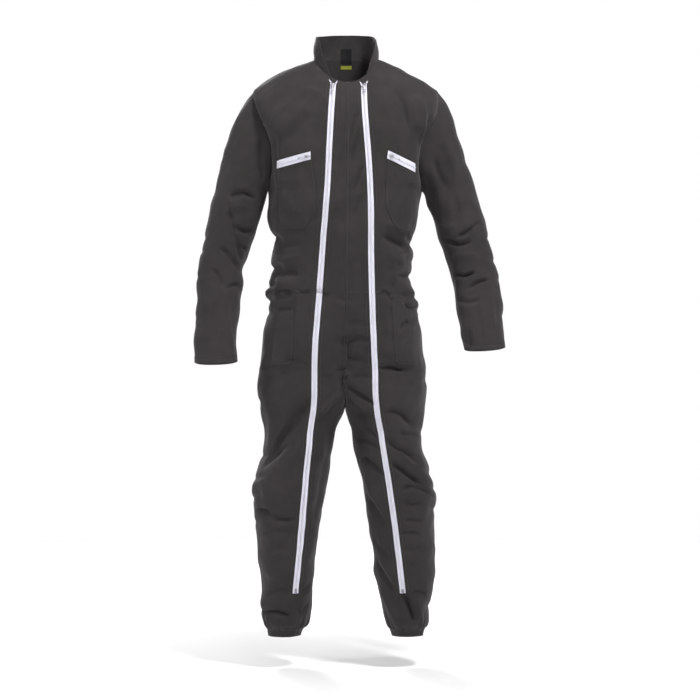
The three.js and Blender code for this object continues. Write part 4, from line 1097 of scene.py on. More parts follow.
class Drape:
    """Gives the skin its folds, gathers and slight unevenness."""

    def __init__(self, skin: Skin) -> None:
        """Sorts the skin's points by the stretch they lie on.

        Args:
            skin: The skin in its worn form.
        """
        self.skin = skin
        count = len(skin.points)
        self.parts = {Part.ANY: np.ones(count, bool)}
        for part, prefix in ((Part.SLEEVE, "sleeve_"), (Part.LEG, "leg_"), (Part.TRUNK, ("front_", "back_"))):
            mask = np.zeros(count, bool)
            for key, index in skin.grids.items():
                if key.startswith(prefix):
                    mask[index.ravel()] = True
            self.parts[part] = mask
        self.rest = skin.points.copy()
        self.out = skin.normals()

    def fold(self, folds: Iterable[Fold]) -> None:
        """Moves the points out or in by the folds that reach them.

        Args:
            folds: The folds, all measured on the form before them.
        """
        points, normals = self.rest, self.out
        rise = np.zeros(len(points))
        for fold in folds:
            axis, (nx, ny) = fold.face.value
            start = 0.7 if fold.face is Face.BACK else 0.3
            facing = smoothstep((normals[:, 0] * nx + normals[:, 1] * ny) * 2 - start)
            use = self.parts[fold.part] & (facing > 0) & (points[:, 0] * nx >= 0)
            share = np.zeros(len(points))
            share[use] = fold.share(points[use][:, [axis, 2]])
            rise += facing * fold.rise * share
        self.skin.points = self.skin.points + normals * rise[:, None]

    def uneven(self, size: float, height: float, seed: int) -> None:
        """Gives the cloth a slight unevenness.

        Args:
            size: The usual distance between its swells in millimetres.
            height: Their usual height.
            seed: Which of many such patterns.
        """
        chance = np.random.default_rng(seed)
        rise = np.zeros(len(self.rest))
        count = 24
        for _ in range(count):
            way = unit(chance.normal(size=3)) * 2 * math.pi / (size * chance.uniform(0.7, 1.5))
            rise += np.sin(self.rest @ way + chance.uniform(0, 2 * math.pi))
        self.skin.points = self.skin.points + self.out * (rise * height / math.sqrt(count / 2))[:, None]

    def gather(self) -> None:
        """Draws the cloth together at the ankle bands and at the elastic of the back waist."""
        x, y, z = self.rest.T
        for side in SIDES:
            sign = OUTWARD[side]
            ring = self.parts[Part.LEG] & (x * sign > 0) & (z < ANKLE_GATHER_Z)
            middle, _, deep, _ = Form.leg_ring(side, np.maximum(z, HEM_Z))
            turn = np.arctan2(y - deep, (x - middle) * sign)
            above = np.clip(z - BAND_Z, 0, None)
            reach = np.where(z < BAND_Z - 1, 0.9, 3.4 * np.exp(-((above - 8) / 26.0) ** 2))
            waves = 0.6 * np.sin(19 * turn + sign) + 0.5 * np.sin(27 * turn + 1.7 * sign + above / 30)
            waves += 0.4 * np.sin(12 * turn + 0.6 + above / 50)
            waves *= 0.75 + 0.35 * self.out[:, 1]
            self.skin.points[ring] += (self.out * (waves * reach)[:, None])[ring]
        around = np.arctan2(x, y) * 150
        middle = (WAIST_Z + CASING_Z) / 2
        reach = 4.2 * np.exp(-((z - middle) / 26.0) ** 2) * smoothstep(self.out[:, 1] * 1.6 + 0.3)
        waves = sum(np.sin(around * 2 * math.pi / pitch + z / 60 + pitch) for pitch in (17.0, 23.0, 31.0)) / 2
        pinch = -2.0 * sum(np.exp(-((z - seam) / 5.0) ** 2) for seam in (WAIST_Z, CASING_Z))
        rise = np.where(self.parts[Part.TRUNK] & (self.out[:, 1] > 0), reach * (waves + 0.3 * pinch), 0.0)
        self.skin.points = self.skin.points + self.out * rise[:, None]


@dataclass
class Sheet:
    """One panel of cloth, cut out of the skin along its seams."""

    points: np.ndarray
    normals: np.ndarray
    faces: np.ndarray
    uvs: np.ndarray

    def wall(self, name: str, outer: np.ndarray, inner: np.ndarray) -> bpy.types.Object:
        """Closes the sheet into a wall between outer and inner points."""
        faces = [tuple(face) for face in self.faces.tolist()]
        uvs = [tuple(map(tuple, corners)) for corners in self.uvs.tolist()]
        return wall_object(name, outer, inner, faces, uvs)


def open_edges(faces: Iterable[tuple[int, ...]]) -> list[tuple[int, int]]:
    """Lists the edges that only one face uses, in that face's direction."""
    found: dict[tuple[int, int], bool] = {}
    for corners in faces:
        for a, b in zip(corners, corners[1:] + corners[:1]):
            if (b, a) in found:
                del found[(b, a)]
            else:
                found[(a, b)] = True
    return list(found)


def cut_panel(skin: Skin, normals: np.ndarray, name: str) -> Sheet:
    """Cuts a panel out of the skin and draws its edges back by half the seam gap.

    Args:
        skin: The folded skin.
        normals: The skin's normals.
        name: The panel.

    Returns:
        The panel's sheet.
    """
    quads = np.array(skin.faces[name])
    keys, own = np.unique(quads, return_inverse=True)
    faces = own.reshape(quads.shape)
    points, out = skin.points[keys].copy(), normals[keys]
    pulls: dict[int, list[np.ndarray]] = {}
    for a, b in open_edges([tuple(f) for f in faces.tolist()]):
        along = unit(points[b] - points[a])
        for i in (a, b):
            pulls.setdefault(i, []).append(unit(np.cross(out[i], along)))
    moved = points.copy()
    for i, found in pulls.items():
        inward = unit(np.sum(found, axis=0))
        moved[i] = points[i] + inward * SEAM_GAP / 2 / max(0.5, float(inward @ found[0]))
    return Sheet(moved, out, faces, np.array(skin.uvs[name]))


def mesh_object(name: str, points: np.ndarray, faces: list[tuple[int, ...]],
                uvs: list[tuple[tuple[float, float], ...]] | None = None) -> bpy.types.Object:
    """Makes a smooth mesh object from points in millimetres.

    Args:
        name: The object's name.
        points: The points.
        faces: The faces, each a tuple of point numbers.
        uvs: One pair for each corner of each face, if the mesh has a map.

    Returns:
        The object, linked to the scene at the origin.
    """
    mesh = bpy.data.meshes.new(name)
    mesh.from_pydata((np.asarray(points) * MM).tolist(), [], faces)
    if uvs is not None:
        layer = mesh.uv_layers.new(name="cloth")
        layer.data.foreach_set("uv", np.array([c for face in uvs for c in face]).ravel())
    mesh.polygons.foreach_set("use_smooth", [True] * len(mesh.polygons))
    mesh.update()
    made = bpy.data.objects.new(name, mesh)
    bpy.context.scene.collection.objects.link(made)
    return made


def turn_out(made: bpy.types.Object) -> None:
    """Turns the faces of a closed object outwards."""
    work = bmesh.new()
    work.from_mesh(made.data)
    bmesh.ops.recalc_face_normals(work, faces=work.faces)
    work.to_mesh(made.data)
    work.free()


def wall_object(name: str, outer: np.ndarray, inner: np.ndarray, faces: list[tuple[int, ...]],
                uvs: list[tuple[tuple[float, float], ...]]) -> bpy.types.Object:
    """Closes a sheet into a wall.

    Args:
        name: The object's name.
        outer: One outer point for each sheet point.
        inner: One inner point for each sheet point.
        faces: The sheet's faces, facing outwards.
        uvs: The sheet's map, corner by corner.

    Returns:
        The closed object, with its rim's edges kept sharp.
    """
    count = len(outer)
    at = {}
    for face, corners in zip(faces, uvs):
        at.update(zip(face, corners))
    inside = [tuple(i + count for i in reversed(face)) for face in faces]
    rim = open_edges(faces)
    sides = [(b, a, a + count, b + count) for a, b in rim]
    side_uvs = [(at[b], at[a], at[a], at[b]) for a, b in rim]
    maps = list(uvs) + [tuple(reversed(c)) for c in uvs] + side_uvs
    made = mesh_object(name, np.concatenate([outer, inner]), list(faces) + inside + sides, maps)
    sharp = {frozenset(edge) for edge in rim}
    sharp |= {frozenset((a + count, b + count)) for a, b in rim}
    flags = [frozenset(edge.vertices) in sharp for edge in made.data.edges]
    layer = made.data.attributes.new("sharp_edge", "BOOLEAN", "EDGE")
    layer.data.foreach_set("value", flags)
    return made


def clip(polygon: list[np.ndarray], a: tuple[float, float], b: tuple[float, float]) -> list[np.ndarray]:
    """Cuts a polygon with the inner side of one edge of an outline.

    Args:
        polygon: Its corners: point, normal and map place as one row of numbers each.
        a: The edge's start, as x and z.
        b: The edge's end.

    Returns:
        What is left of the polygon.
    """
    def inside(p: np.ndarray) -> float:
        """Gives how far a corner lies inside the edge."""
        return (b[0] - a[0]) * (p[2] - a[1]) - (b[1] - a[1]) * (p[0] - a[0])

    cut = []
    for p, q in zip(polygon, polygon[1:] + polygon[:1]):
        dp, dq = inside(p), inside(q)
        if dp >= 0:
            cut.append(p)
        if (dp > 0) != (dq > 0) and dp != 0 and dq != 0:
            cut.append(p + (q - p) * (dp / (dp - dq)))
    return cut


def sewn_on(name: str, sheet: Sheet, outline: Outline, under: float, over: float) -> bpy.types.Object:
    """Makes a piece that is sewn onto a sheet: the sheet's own faces inside an outline, moved off it.

    Args:
        name: The object's name.
        sheet: The sheet that carries the piece.
        outline: The outline in x and z, as seen from the front.
        under: How far its lower face lies off the sheet, outwards.
        over: How far its upper face lies off the sheet.

    Returns:
        The closed object.
    """
    area = sum(a[0] * b[1] - b[0] * a[1] for a, b in zip(outline, outline[1:] + outline[:1]))
    edges = outline if area > 0 else outline[::-1]
    low, high = np.min(outline, axis=0), np.max(outline, axis=0)
    rows: list[np.ndarray] = []
    found: dict[tuple[int, ...], int] = {}
    faces, uvs = [], []
    for corners, places in zip(sheet.faces, sheet.uvs):
        flat = sheet.points[corners][:, [0, 2]]
        if np.any(flat.max(axis=0) < low) or np.any(flat.min(axis=0) > high):
            continue
        whole = [np.concatenate([sheet.points[i], sheet.normals[i], uv]) for i, uv in zip(corners, places)]
        for triple in ((0, 1, 2), (0, 2, 3)):
            polygon = [whole[k] for k in triple]
            for a, b in zip(edges, edges[1:] + edges[:1]):
                polygon = clip(polygon, a, b)
            numbers = []
            for p in polygon:
                key = tuple(np.rint(p[:3] * WELD_STEPS).astype(int))
                if key not in found:
                    found[key] = len(rows)
                    rows.append(p)
                numbers.append(found[key])
            numbers = [n for n, m in zip(numbers, numbers[1:] + numbers[:1]) if n != m]
            if len(numbers) > 2:
                faces.append(tuple(numbers if over > 0 else reversed(numbers)))
                uvs.append(tuple((rows[n][6], rows[n][7]) for n in faces[-1]))
    data = np.array(rows)
    points, normals = data[:, :3], unit(data[:, 3:6])
    return wall_object(name, points + normals * over, points + normals * under, faces, uvs)


class Nodes:
    """A short way to build one material's nodes."""

    def __init__(self, name: str) -> None:
        """Starts a material with its shader and output.

        Args:
            name: The material's name.
        """
        self.material = bpy.data.materials.new(name)
        self.material.use_nodes = True
        self.tree = self.material.node_tree
        self.shader = self.tree.nodes["Principled BSDF"]

    def make(self, kind: str, **inputs: object) -> bpy.types.Node:
        """Adds a node.

        Args:
            kind: The node's type.
            **inputs: Values or sockets for its inputs, by name, with spaces written as underscores, and
                properties in small letters.

        Returns:
            The node.
        """
        node = self.tree.nodes.new("ShaderNode" + kind)
        for key, value in inputs.items():
            if key[0].islower():
                setattr(node, key, value)
                continue
            self.feed(node, key.replace("_", " "), value)
        return node

    def feed(self, node: bpy.types.Node, name: str, value: object) -> None:
        """Sets an input or links a socket to it."""
        socket = node.inputs[int(name[1:])] if name[0] == "I" and name[1:].isdigit() else node.inputs[name]
        if isinstance(value, bpy.types.NodeSocket):
            self.tree.links.new(value, socket)
        else:
            socket.default_value = value

    def maths(self, operation: str, a: object, b: object = 0.0) -> bpy.types.NodeSocket:
        """Joins two numbers by an operation."""
        return self.make("Math", operation=operation, I0=a, I1=b).outputs[0]

    def mix(self, factor: object, a: object, b: object) -> bpy.types.NodeSocket:
        """Mixes two colours."""
        return self.make("Mix", data_type="RGBA", I0=factor, I6=a, I7=b).outputs[2]

    def scaled(self, source: bpy.types.NodeSocket, scale: tuple[float, float, float],
               turn: float = 0.0) -> bpy.types.NodeSocket:
        """Scales and turns coordinates."""
        return self.make("Mapping", Vector=source, Rotation=(0, 0, turn), Scale=scale).outputs[0]

    def noise(self, source: bpy.types.NodeSocket, scale: float, detail: float = 3.0,
              rough: float = 0.5) -> bpy.types.NodeSocket:
        """Gives a noise of about 0 to 1."""
        return self.make("TexNoise", Vector=source, Scale=scale, Detail=detail, Roughness=rough).outputs[0]

    def ramp(self, value: bpy.types.NodeSocket, low: float, high: float, start: float,
             end: float) -> bpy.types.NodeSocket:
        """Maps a number's range onto another, held at its ends."""
        return self.make("MapRange", I0=value, I1=low, I2=high, I3=start, I4=end).outputs[0]

    def place(self) -> bpy.types.NodeSocket:
        """Gives the place on the object."""
        return self.make("TexCoord").outputs["Object"]

    def cloth(self) -> bpy.types.NodeSocket:
        """Gives the place on the piece's own map."""
        return self.make("UVMap", uv_map="cloth").outputs[0]

    def dress(self, **inputs: object) -> bpy.types.Material:
        """Feeds the shader, its inputs' names written with underscores, and gives the material."""
        for key, value in inputs.items():
            self.feed(self.shader, key.replace("_", " "), value)
        return self.material

    def bump(self, height: bpy.types.NodeSocket, distance: float, strength: float,
             below: bpy.types.NodeSocket | None = None) -> bpy.types.NodeSocket:
        """Turns heights into a normal, on top of another one."""
        node = self.make("Bump", Height=height, Distance=distance, Strength=strength)
        if below is not None:
            self.feed(node, "Normal", below)
        return node.outputs[0]


Colour = tuple[float, float, float, float]


@dataclass(frozen=True)
class Twill:
    """Dyed cotton twill: steep diagonal wales, soft fading and a matt face."""

    name: str = "charcoal_twill"
    dark: Colour = (0.0195, 0.0168, 0.0165, 1.0)
    light: Colour = (0.0405, 0.0347, 0.0360, 1.0)
    wale: float = 0.0011
    turn: float = math.radians(63)

    def build(self) -> bpy.types.Material:
        """Builds the material.

        Returns:
            The material, on the piece's own map in metres.
        """
        n = Nodes(self.name)
        cloth = n.cloth()
        place = n.place()
        wales = n.make("TexWave", Vector=n.scaled(cloth, (1 / self.wale, 1 / self.wale, 1.0), self.turn),
                       Scale=0.31, Distortion=0.6, Detail=1.0, Detail_Scale=1.5).outputs[1]
        threads = n.noise(n.scaled(cloth, (900.0, 2400.0, 1.0)), 1.0, 2.0)
        fade = n.noise(place, 5.0, 4.0, 0.55)
        cloud = n.noise(place, 38.0, 3.0, 0.6)
        shade = n.maths("ADD", n.maths("MULTIPLY", fade, 0.55), n.maths("MULTIPLY", cloud, 0.45))
        colour = n.mix(n.ramp(shade, 0.3, 0.7, 0.0, 1.0), self.dark, self.light)
        fleck = n.ramp(threads, 0.35, 0.7, 0.82, 1.16)
        toned = n.make("VectorMath", operation="SCALE", Vector=colour, Scale=fleck).outputs[0]
        weave = n.maths("ADD", n.maths("MULTIPLY", wales, 0.7), n.maths("MULTIPLY", threads, 0.5))
        crumple = n.bump(n.noise(place, 26.0, 4.0, 0.55), 0.004, 0.35)
        return n.dress(Base_Color=toned, Roughness=n.ramp(cloud, 0.3, 0.7, 0.82, 0.94), Sheen_Weight=0.14,
                       Sheen_Roughness=0.45, Sheen_Tint=(0.75, 0.72, 0.74, 1.0), Specular_IOR_Level=0.28,
                       Normal=n.bump(weave, 0.0003, 0.55, crumple))


@dataclass(frozen=True)
class Tape:
    """White woven zip tape with fine ribs along it."""

    name: str = "white_zip_tape"
    colour: Colour = (0.78, 0.77, 0.86, 1.0)
    # The darker colour stands for a painted shade in the grooves between the ribs and for the tape's real
    # soiling.
    shadow: Colour = (0.62, 0.61, 0.72, 1.0)

    def build(self) -> bpy.types.Material:
        """Builds the material.

        Returns:
            The material, on the piece's own map in metres.
        """
        n = Nodes(self.name)
        cloth = n.cloth()
        ribs = n.make("TexWave", Vector=n.scaled(cloth, (1000.0, 1000.0, 1.0)), Scale=0.32).outputs[1]
        picks = n.make("TexWave", bands_direction="Y", Vector=n.scaled(cloth, (1000.0, 1000.0, 1.0)),
                       Scale=0.5).outputs[1]
        weave = n.maths("MULTIPLY", ribs, n.ramp(picks, 0.0, 1.0, 0.6, 1.0))
        soil = n.noise(n.place(), 22.0, 3.0)
        # Painted shade: darker in the grooves between the ribs and picks. Real soiling: darker where the soil
        # noise is low.
        tone = n.maths("MULTIPLY", n.ramp(weave, 0.0, 0.6, 0.25, 1.0), n.ramp(soil, 0.3, 0.6, 0.75, 1.0))
        return n.dress(Base_Color=n.mix(tone, self.shadow, self.colour),
                       Roughness=n.ramp(soil, 0.3, 0.7, 0.6, 0.8), Normal=n.bump(weave, 0.0003, 0.5))


@dataclass(frozen=True)
class Moulded:
    """White moulded plastic of the zip teeth."""

    name: str = "white_zip_teeth"
    colour: Colour = (0.80, 0.80, 0.88, 1.0)
    shadow: Colour = (0.66, 0.66, 0.76, 1.0)

    def build(self) -> bpy.types.Material:
        """Builds the material on object coordinates."""
        n = Nodes(self.name)
        grain = n.noise(n.place(), 320.0, 2.0)
        colour = n.mix(n.ramp(grain, 0.3, 0.7, 0.2, 1.0), self.shadow, self.colour)
        return n.dress(Base_Color=colour, Roughness=n.ramp(grain, 0.3, 0.7, 0.28, 0.42),
                       Normal=n.bump(grain, 0.0001, 0.3))


@dataclass(frozen=True)
class Enamel:
    """White painted metal of the sliders and the pull tabs, worn a little at its edges."""

    name: str = "white_enamel"
    paint: Colour = (0.60, 0.60, 0.66, 1.0)
    metal: Colour = (0.26, 0.26, 0.29, 1.0)

    def build(self) -> bpy.types.Material:
        """Builds the material on object coordinates."""
        n = Nodes(self.name)
        place = n.place()
        grain = n.noise(place, 700.0, 3.0)
        worn = n.ramp(n.maths("ADD", n.make("NewGeometry").outputs["Pointiness"],
                              n.maths("MULTIPLY", grain, 0.12)), 0.585, 0.64, 0.0, 1.0)
        colour, metallic = n.mix(worn, self.paint, self.metal), n.maths("MULTIPLY", worn, 0.9)
        return n.dress(Base_Color=colour, Metallic=metallic, Roughness=n.ramp(grain, 0.3, 0.7, 0.24, 0.4),
                       Normal=n.bump(grain, 0.00008, 0.25))


@dataclass(frozen=True)
class Satin:
    """A woven satin label in one colour, with nothing on it."""

    name: str
    colour: Colour
    light: Colour

    def build(self) -> bpy.types.Material:
        """Builds the material on the piece's own map."""
        n = Nodes(self.name)
        cloth = n.cloth()
        weft = n.make("TexWave", bands_direction="Y", Vector=n.scaled(cloth, (1000.0, 1000.0, 1.0)),
                      Scale=0.9, Distortion=1.0, Detail=1.0).outputs[1]
        # Painted sheen: the weft ribs are painted lighter than the label's own colour.
        colour = n.mix(n.ramp(weft, 0.0, 1.0, 0.0, 0.6), self.colour, self.light)
        return n.dress(Base_Color=colour, Roughness=n.ramp(weft, 0.0, 1.0, 0.6, 0.75),
                       Specular_IOR_Level=0.12, Normal=n.bump(weft, 0.0002, 0.4))


@dataclass(frozen=True)
class Thread:
    """Sewing thread, a shade lighter than the cloth it is sewn through."""

    name: str = "charcoal_thread"
    dark: Colour = (0.036, 0.033, 0.032, 1.0)
    light: Colour = (0.066, 0.061, 0.060, 1.0)

    def build(self) -> bpy.types.Material:
        """Builds the material on object coordinates."""
        n = Nodes(self.name)
        twist = n.noise(n.place(), 1400.0, 2.0)
        colour = n.mix(n.ramp(twist, 0.3, 0.7, 0.0, 1.0), self.dark, self.light)
        return n.dress(Base_Color=colour, Roughness=n.ramp(twist, 0.3, 0.7, 0.5, 0.7),
                       Normal=n.bump(twist, 0.0002, 0.4))


@dataclass
class Finishes:
    """Every material of the suit."""

    twill: bpy.types.Material = field(default_factory=Twill().build)
    tape: bpy.types.Material = field(default_factory=Tape().build)
    teeth: bpy.types.Material = field(default_factory=Moulded().build)
    enamel: bpy.types.Material = field(default_factory=Enamel().build)
    # Each label's second colour is its painted sheen on the weft ribs.
    label: bpy.types.Material = field(
        default_factory=Satin("black_satin", (0.006, 0.006, 0.007, 1), (0.02, 0.02, 0.022, 1)).build)
    strip: bpy.types.Material = field(
        default_factory=Satin("yellow_satin", (0.2, 0.21, 0.02, 1), (0.38, 0.4, 0.07, 1)).build)
    thread: bpy.types.Material = field(default_factory=Thread().build)


def settle(piece: bpy.types.Object, material: bpy.types.Material, slot: str, body: str, *nodes: str) -> None:
    """Gives a piece its material, hangs it on its body and hides the nodes that it replaces.

    Args:
        piece: The piece.
        material: Its material.
        slot: Not used.
        body: The body that it rides on.
        *nodes: The nodes that it replaces.
    """
    piece.data.materials.clear()
    piece.data.materials.append(material)
    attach(piece, body)
    if nodes:
        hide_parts(*nodes)
    LOG.info("%s: %d faces", piece.name, len(piece.data.polygons))


@dataclass(frozen=True)
class Course:
    """A line on the cloth: its places in millimetres, the way out of the cloth and the way along it."""

    spots: np.ndarray
    out: np.ndarray
    along: np.ndarray


class Surface:
    """The outside of the folded suit, on which lines are laid."""

    def __init__(self, skin: Skin) -> None:
        """Sorts the skin's faces so that the nearest one is quickly found.

        Args:
            skin: The folded skin.
        """
        self.skin = skin
        self.tree = BVHTree.FromPolygons(skin.points.tolist(), skin.quads().tolist())

    def grid_line(self, key: str, cells: tuple[object, object]) -> np.ndarray:
        """Gives the points of a row or a column of one of the skin's grids."""
        return self.skin.points[self.skin.grids[key][cells]]

    def seen_line(self, outline: Outline) -> np.ndarray:
        """Lays a line drawn in x and z onto the front of the suit."""
        places = []
        for (ax, az), (bx, bz) in zip(outline, outline[1:]):
            count = max(2, int(math.dist((ax, az), (bx, bz)) / 3))
            for t in np.arange(count) / count:
                places.append((ax + (bx - ax) * t, az + (bz - az) * t))
        places.append(outline[-1])
        spots = []
        for x, z in places:
            hit = self.tree.ray_cast(Vector((x, -400.0, z)), Vector((0.0, 1.0, 0.0)))[0]
            if hit is not None:
                spots.append(tuple(hit))
        return np.array(spots)

    def project(self, spots: np.ndarray) -> tuple[np.ndarray, np.ndarray]:
        """Gives the nearest places on the cloth and the way out of it there."""
        found = [self.tree.find_nearest(Vector(spot)) for spot in spots]
        return np.array([hit[0] for hit in found]), np.array([hit[1] for hit in found])

    def lay(self, line: np.ndarray, step: float, offset: float = 0.0, lift: float = 0.0) -> Course:
        """Lays a line beside another one.

        Args:
            line: The places of the line to follow.
            step: The distance between the places wanted.
            offset: How far beside the line. On the front and going down, more is towards +X.
            lift: How far above the cloth.

        Returns:
            The course.
        """
        length = np.concatenate([[0.0], np.cumsum(np.linalg.norm(np.diff(line, axis=0), axis=1))])
        count = max(3, int(length[-1] / step))
        stops = (np.arange(count) + 0.5) * length[-1] / count
        spots = np.stack([np.interp(stops, length, line[:, k]) for k in range(3)], axis=-1)
        for _ in range(2 if offset else 1):
            along = unit(np.gradient(spots, axis=0))
            spots, out = self.project(spots)
            if offset:
                spots, out = self.project(spots + unit(np.cross(out, along)) * offset)
                offset = 0.0
        along = unit(np.gradient(spots, axis=0))
        return Course(spots + out * lift, out, along)


@dataclass(frozen=True)
class Seam:
    """A seam or a hem: its line on the cloth, how wide and thick its lap is, and its stitch lines.

    Over is how thick the pieces are that lie on the cloth there, and sunk is how far inside it the lap lies.
    """

    line: np.ndarray
    width: float
    height: float
    rows: tuple[float, ...]
    offset: float = 0.0
    over: float = 0.0
    sunk: float = 0.0


@dataclass
class Repeat:
    """A small shape that is set along a line again and again by Geometry Nodes."""

    name: str
    size: tuple[float, float, float]
    seed: int
    loose: float = 0.08

    def tree(self) -> bpy.types.NodeTree:
        """Builds the node tree, with its named inputs.

        Returns:
            The tree.
        """
        tree = bpy.data.node_groups.new(self.name, "GeometryNodeTree")
        face = tree.interface
        face.new_socket("Places", in_out="INPUT", socket_type="NodeSocketGeometry")
        for label in ("Length", "Width", "Height", "Looseness"):
            face.new_socket(label, in_out="INPUT", socket_type="NodeSocketFloat")
        face.new_socket("Seed", in_out="INPUT", socket_type="NodeSocketInt")
        face.new_socket("Finish", in_out="INPUT", socket_type="NodeSocketMaterial")
        face.new_socket("Shapes", in_out="OUTPUT", socket_type="NodeSocketGeometry")
        add, link = tree.nodes.new, tree.links.new
        given, result = add("NodeGroupInput"), add("NodeGroupOutput")
        size, cube = add("ShaderNodeCombineXYZ"), add("GeometryNodeMeshCube")
        for label, axis in (("Length", "X"), ("Width", "Y"), ("Height", "Z")):
            link(given.outputs[label], size.inputs[axis])
        link(size.outputs[0], cube.inputs["Size"])
        turned = None
        for label, axis, pivot in (("along", "X", "AUTO"), ("out", "Z", "X")):
            read, align = add("GeometryNodeInputNamedAttribute"), add("FunctionNodeAlignRotationToVector")
            read.data_type = "FLOAT_VECTOR"
            read.inputs["Name"].default_value = label
            align.axis, align.pivot_axis = axis, pivot
            link(read.outputs["Attribute"], align.inputs["Vector"])
            if turned is not None:
                link(turned, align.inputs["Rotation"])
            turned = align.outputs["Rotation"]
        chance, low, high = add("FunctionNodeRandomValue"), add("ShaderNodeMath"), add("ShaderNodeMath")
        chance.data_type = "FLOAT"
        low.operation, high.operation = "SUBTRACT", "ADD"
        for node, label in ((low, "Min"), (high, "Max")):
            node.inputs[0].default_value = 1.0
            link(given.outputs["Looseness"], node.inputs[1])
            wanted = [socket for socket in chance.inputs if socket.name == label and socket.type == "VALUE"
                      and socket.enabled]
            link(node.outputs[0], wanted[0])
        link(given.outputs["Seed"], chance.inputs["Seed"])
        sown = [socket for socket in chance.outputs if socket.type == "VALUE" and socket.enabled][0]
        place, real = add("GeometryNodeInstanceOnPoints"), add("GeometryNodeRealizeInstances")
        smooth, paint = add("GeometryNodeSetShadeSmooth"), add("GeometryNodeSetMaterial")
        link(given.outputs["Places"], place.inputs["Points"])
        link(cube.outputs["Mesh"], place.inputs["Instance"])
        link(turned, place.inputs["Rotation"])
        link(sown, place.inputs["Scale"])
        link(place.outputs[0], real.inputs[0])
        link(real.outputs[0], smooth.inputs[0])
        link(smooth.outputs[0], paint.inputs["Geometry"])
        link(given.outputs["Finish"], paint.inputs["Material"])
        link(paint.outputs[0], result.inputs[0])
        return tree

    def build(self, name: str, courses: list[Course], finish: bpy.types.Material) -> bpy.types.Object:
        """Sets the shape at every place of some courses.

        Args:
            name: The object's name.
            courses: Where the shapes stand.
            finish: Their material.

        Returns:
            A plain mesh object.
        """
        carrier = mesh_object(name + "_places", np.concatenate([c.spots for c in courses]), [])
        for label in ("along", "out"):
            layer = carrier.data.attributes.new(label, "FLOAT_VECTOR", "POINT")
            layer.data.foreach_set("vector", np.concatenate([getattr(c, label) for c in courses]).ravel())
        tree = self.tree()
        modifier = carrier.modifiers.new(self.name, "NODES")
        modifier.node_group = tree
        values = {"Length": self.size[0] * MM, "Width": self.size[1] * MM, "Height": self.size[2] * MM,
                  "Looseness": self.loose, "Seed": self.seed, "Finish": finish}
        for item in tree.interface.items_tree:
            if item.item_type == "SOCKET" and item.in_out == "INPUT" and item.name in values:
                modifier[item.identifier] = values[item.name]
        graph = bpy.context.evaluated_depsgraph_get()
        mesh = bpy.data.meshes.new_from_object(carrier.evaluated_get(graph))
        old = carrier.data
        bpy.data.objects.remove(carrier)
        bpy.data.meshes.remove(old)
        mesh.name = name
        made = bpy.data.objects.new(name, mesh)
        bpy.context.scene.collection.objects.link(made)
        return made


